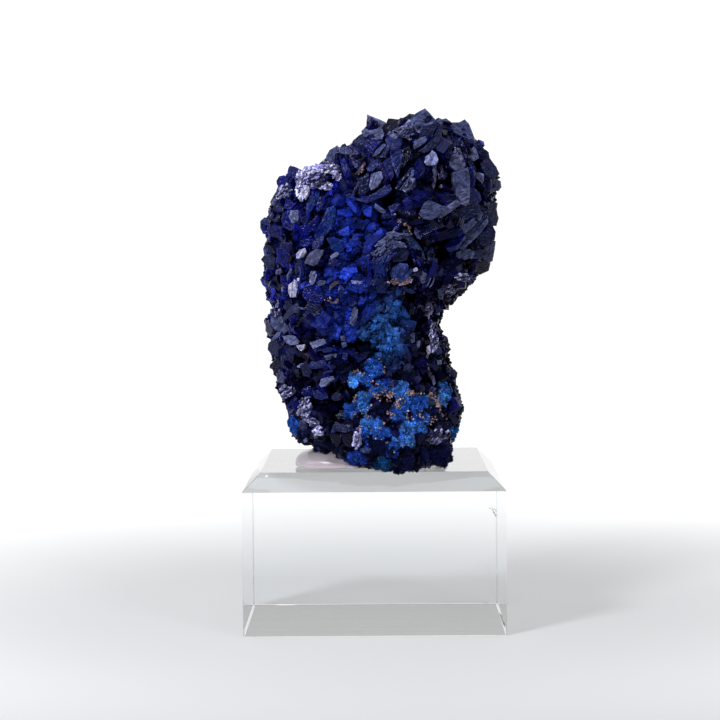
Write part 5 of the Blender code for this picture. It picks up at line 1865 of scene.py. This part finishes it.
# %% Model the putty
putty_low, putty_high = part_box("mounting_putty")
PUTTY_LEFT, PUTTY_RIGHT = 3.1 * MM, 0.9 * MM  # heights at the two ends
SQUARENESS = 2.6  # 2 is an ellipse seen from above, more is boxier
NARROWING = 0.25  # how much less deep it is at its right end
PUTTY_WAVES = 0.10 * MM
putty = add(bpy.ops.mesh.primitive_uv_sphere_add, "putty", segments=96, ring_count=48, radius=1)
bpy.ops.object.mode_set(mode="OBJECT")
flat = numbers(putty.data, "co")
plan = np.linalg.norm(flat[:, :2], axis=1) + 1e-9
squared = (np.abs(flat[:, :2]) ** SQUARENESS).sum(axis=1) ** (1 / SQUARENESS) + 1e-9
flat[:, :2] *= (plan / squared)[:, None]
share = (flat[:, 0] + 1) / 2
height = PUTTY_LEFT + (PUTTY_RIGHT - PUTTY_LEFT) * share**0.8
middle_across, middle_away = (putty_low[0] + putty_high[0]) / 2, (putty_low[1] + putty_high[1]) / 2
shaped = np.stack([
    middle_across + flat[:, 0] * (putty_high[0] - putty_low[0]) / 2,
    middle_away + flat[:, 1] * (putty_high[1] - putty_low[1]) / 2 * (1 - NARROWING * share),
    putty_low[2] + np.where(flat[:, 2] > 0, np.abs(flat[:, 2]) ** 0.8 * height, 0.12 * MM * flat[:, 2]),
], axis=1)
shaped += PUTTY_WAVES * waver(shaped, 1.6 * MM, 3)[:, None] * flat * (flat[:, 2:] > 0)
shaped[:, 2] = np.maximum(shaped[:, 2], putty_low[2] - 0.1 * MM)
putty.data.vertices.foreach_set("co", shaped.astype(np.float32).ravel())
putty.data.update()
putty.data.shade_smooth()
putty.data.materials.append(clear_material(
    "putty", colour=(0.98, 0.96, 0.98), passed=(0.83, 0.65, 0.79), density=100.0, index=1.42, roughness=0.20,
    polish=(0.5, 300.0, 0.15 * MM), clear=0.8,
))
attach(putty, "root")
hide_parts("mounting_putty")
print("putty, mm:", np.round(np.ptp(shaped, axis=0) / MM, 1))

# %% [markdown]
# ## Floor and surroundings
# The object stands on a plain pale floor that rises into a round wall, so there is a soft pale ground from
# every side. It is turned from a profile: flat in the middle, a wide curve, then upright. The card glows
# rather than being lit, and a painted shadow dims the glow round the foot of the object.

# %% Make the floor
FLOOR_FLAT, FLOOR_CURVE, FLOOR_WALL = 0.45, 0.25, 0.35
CURVE_STEPS = 12
floor = add(bpy.ops.mesh.primitive_circle_add, "floor", vertices=96, radius=FLOOR_FLAT, fill_type="NGON")
for step in range(CURVE_STEPS):
    before, after = (math.radians(90 * k / CURVE_STEPS) for k in (step, step + 1))
    pick("edges", lambda e: e.is_boundary)
    rise = FLOOR_CURVE * (math.cos(before) - math.cos(after))
    reach = FLOOR_FLAT + FLOOR_CURVE * math.sin(after)
    spread = reach / (FLOOR_FLAT + FLOOR_CURVE * math.sin(before))
    bpy.ops.mesh.extrude_edges_move(TRANSFORM_OT_translate={"value": (0, 0, rise)})
    bpy.ops.transform.resize(value=(spread, spread, 1))
pick("edges", lambda e: e.is_boundary)
bpy.ops.mesh.extrude_edges_move(TRANSFORM_OT_translate={"value": (0, 0, FLOOR_WALL)})
bpy.ops.mesh.select_all(action="SELECT")
bpy.ops.mesh.normals_make_consistent(inside=True)
bpy.ops.object.mode_set(mode="OBJECT")
bpy.ops.object.shade_smooth()
floor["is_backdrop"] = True
print("the floor reaches", FLOOR_FLAT + FLOOR_CURVE, "m from the middle")


# %% Light the floor and the room


def floor_material():
    """Pale matt card: it glows behind the object and is dim in front of it, with a painted shadow round the
    foot of the object.
    """
    material, shader, node = new_material("pale card")

    def ramp(value, low, high, dim, bright):
        return ranged(node, value, low, high, dim, bright, interpolation_type="SMOOTHSTEP")

    place = node("ShaderNodeTexCoord").outputs["Object"]
    away = node("ShaderNodeSeparateXYZ", {"Vector": place}).outputs["Y"]
    out = node("ShaderNodeVectorMath", {0: place}, operation="LENGTH").outputs["Value"]
    # painted shadow: the glow is dimmed round the foot of the object
    front, foot = ramp(away, -0.10, -0.03, 0.05, 1.0), ramp(out, 0.03, 0.14, 0.30, 1.0)
    near = number_of(node, "MULTIPLY", front, foot)
    far = ramp(away, -0.1, 0.5, 0.06, 1.0)
    glow = node("ShaderNodeMix", {"Factor": ramp(out, 0.25, 0.5, 0.0, 1.0), "A": near, "B": far})
    fill(shader, {
        "Base Color": ramp(out, 0.05, 0.17, 0.50, 0.15),
        "Emission Strength": glow.outputs["Result"],
        "Emission Color": (1.0, 1.0, 1.0, 1.0),
        "Roughness": 0.9,
        "Specular IOR Level": 0.1,
    })
    return material


floor.data.materials.append(floor_material())
world = bpy.data.worlds.new("room")
bpy.context.scene.world = world
world.use_nodes = True
fill(world.node_tree.nodes["Background"], {"Color": (0.9, 0.95, 1.0, 1.0), "Strength": 0.03})
bpy.context.scene.view_settings.view_transform = "Standard"

# %% [markdown]
# ## Measure the size
# How far the dressed object reaches past the imported model's box is printed for its low and its high side.

# %% Measure and finish
low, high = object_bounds()
for where, growth in (("low", cad_low - low), ("high", high - cad_high)):
    print("grows at its", where, "side, mm:", [round(v / MM, 2) for v in growth])
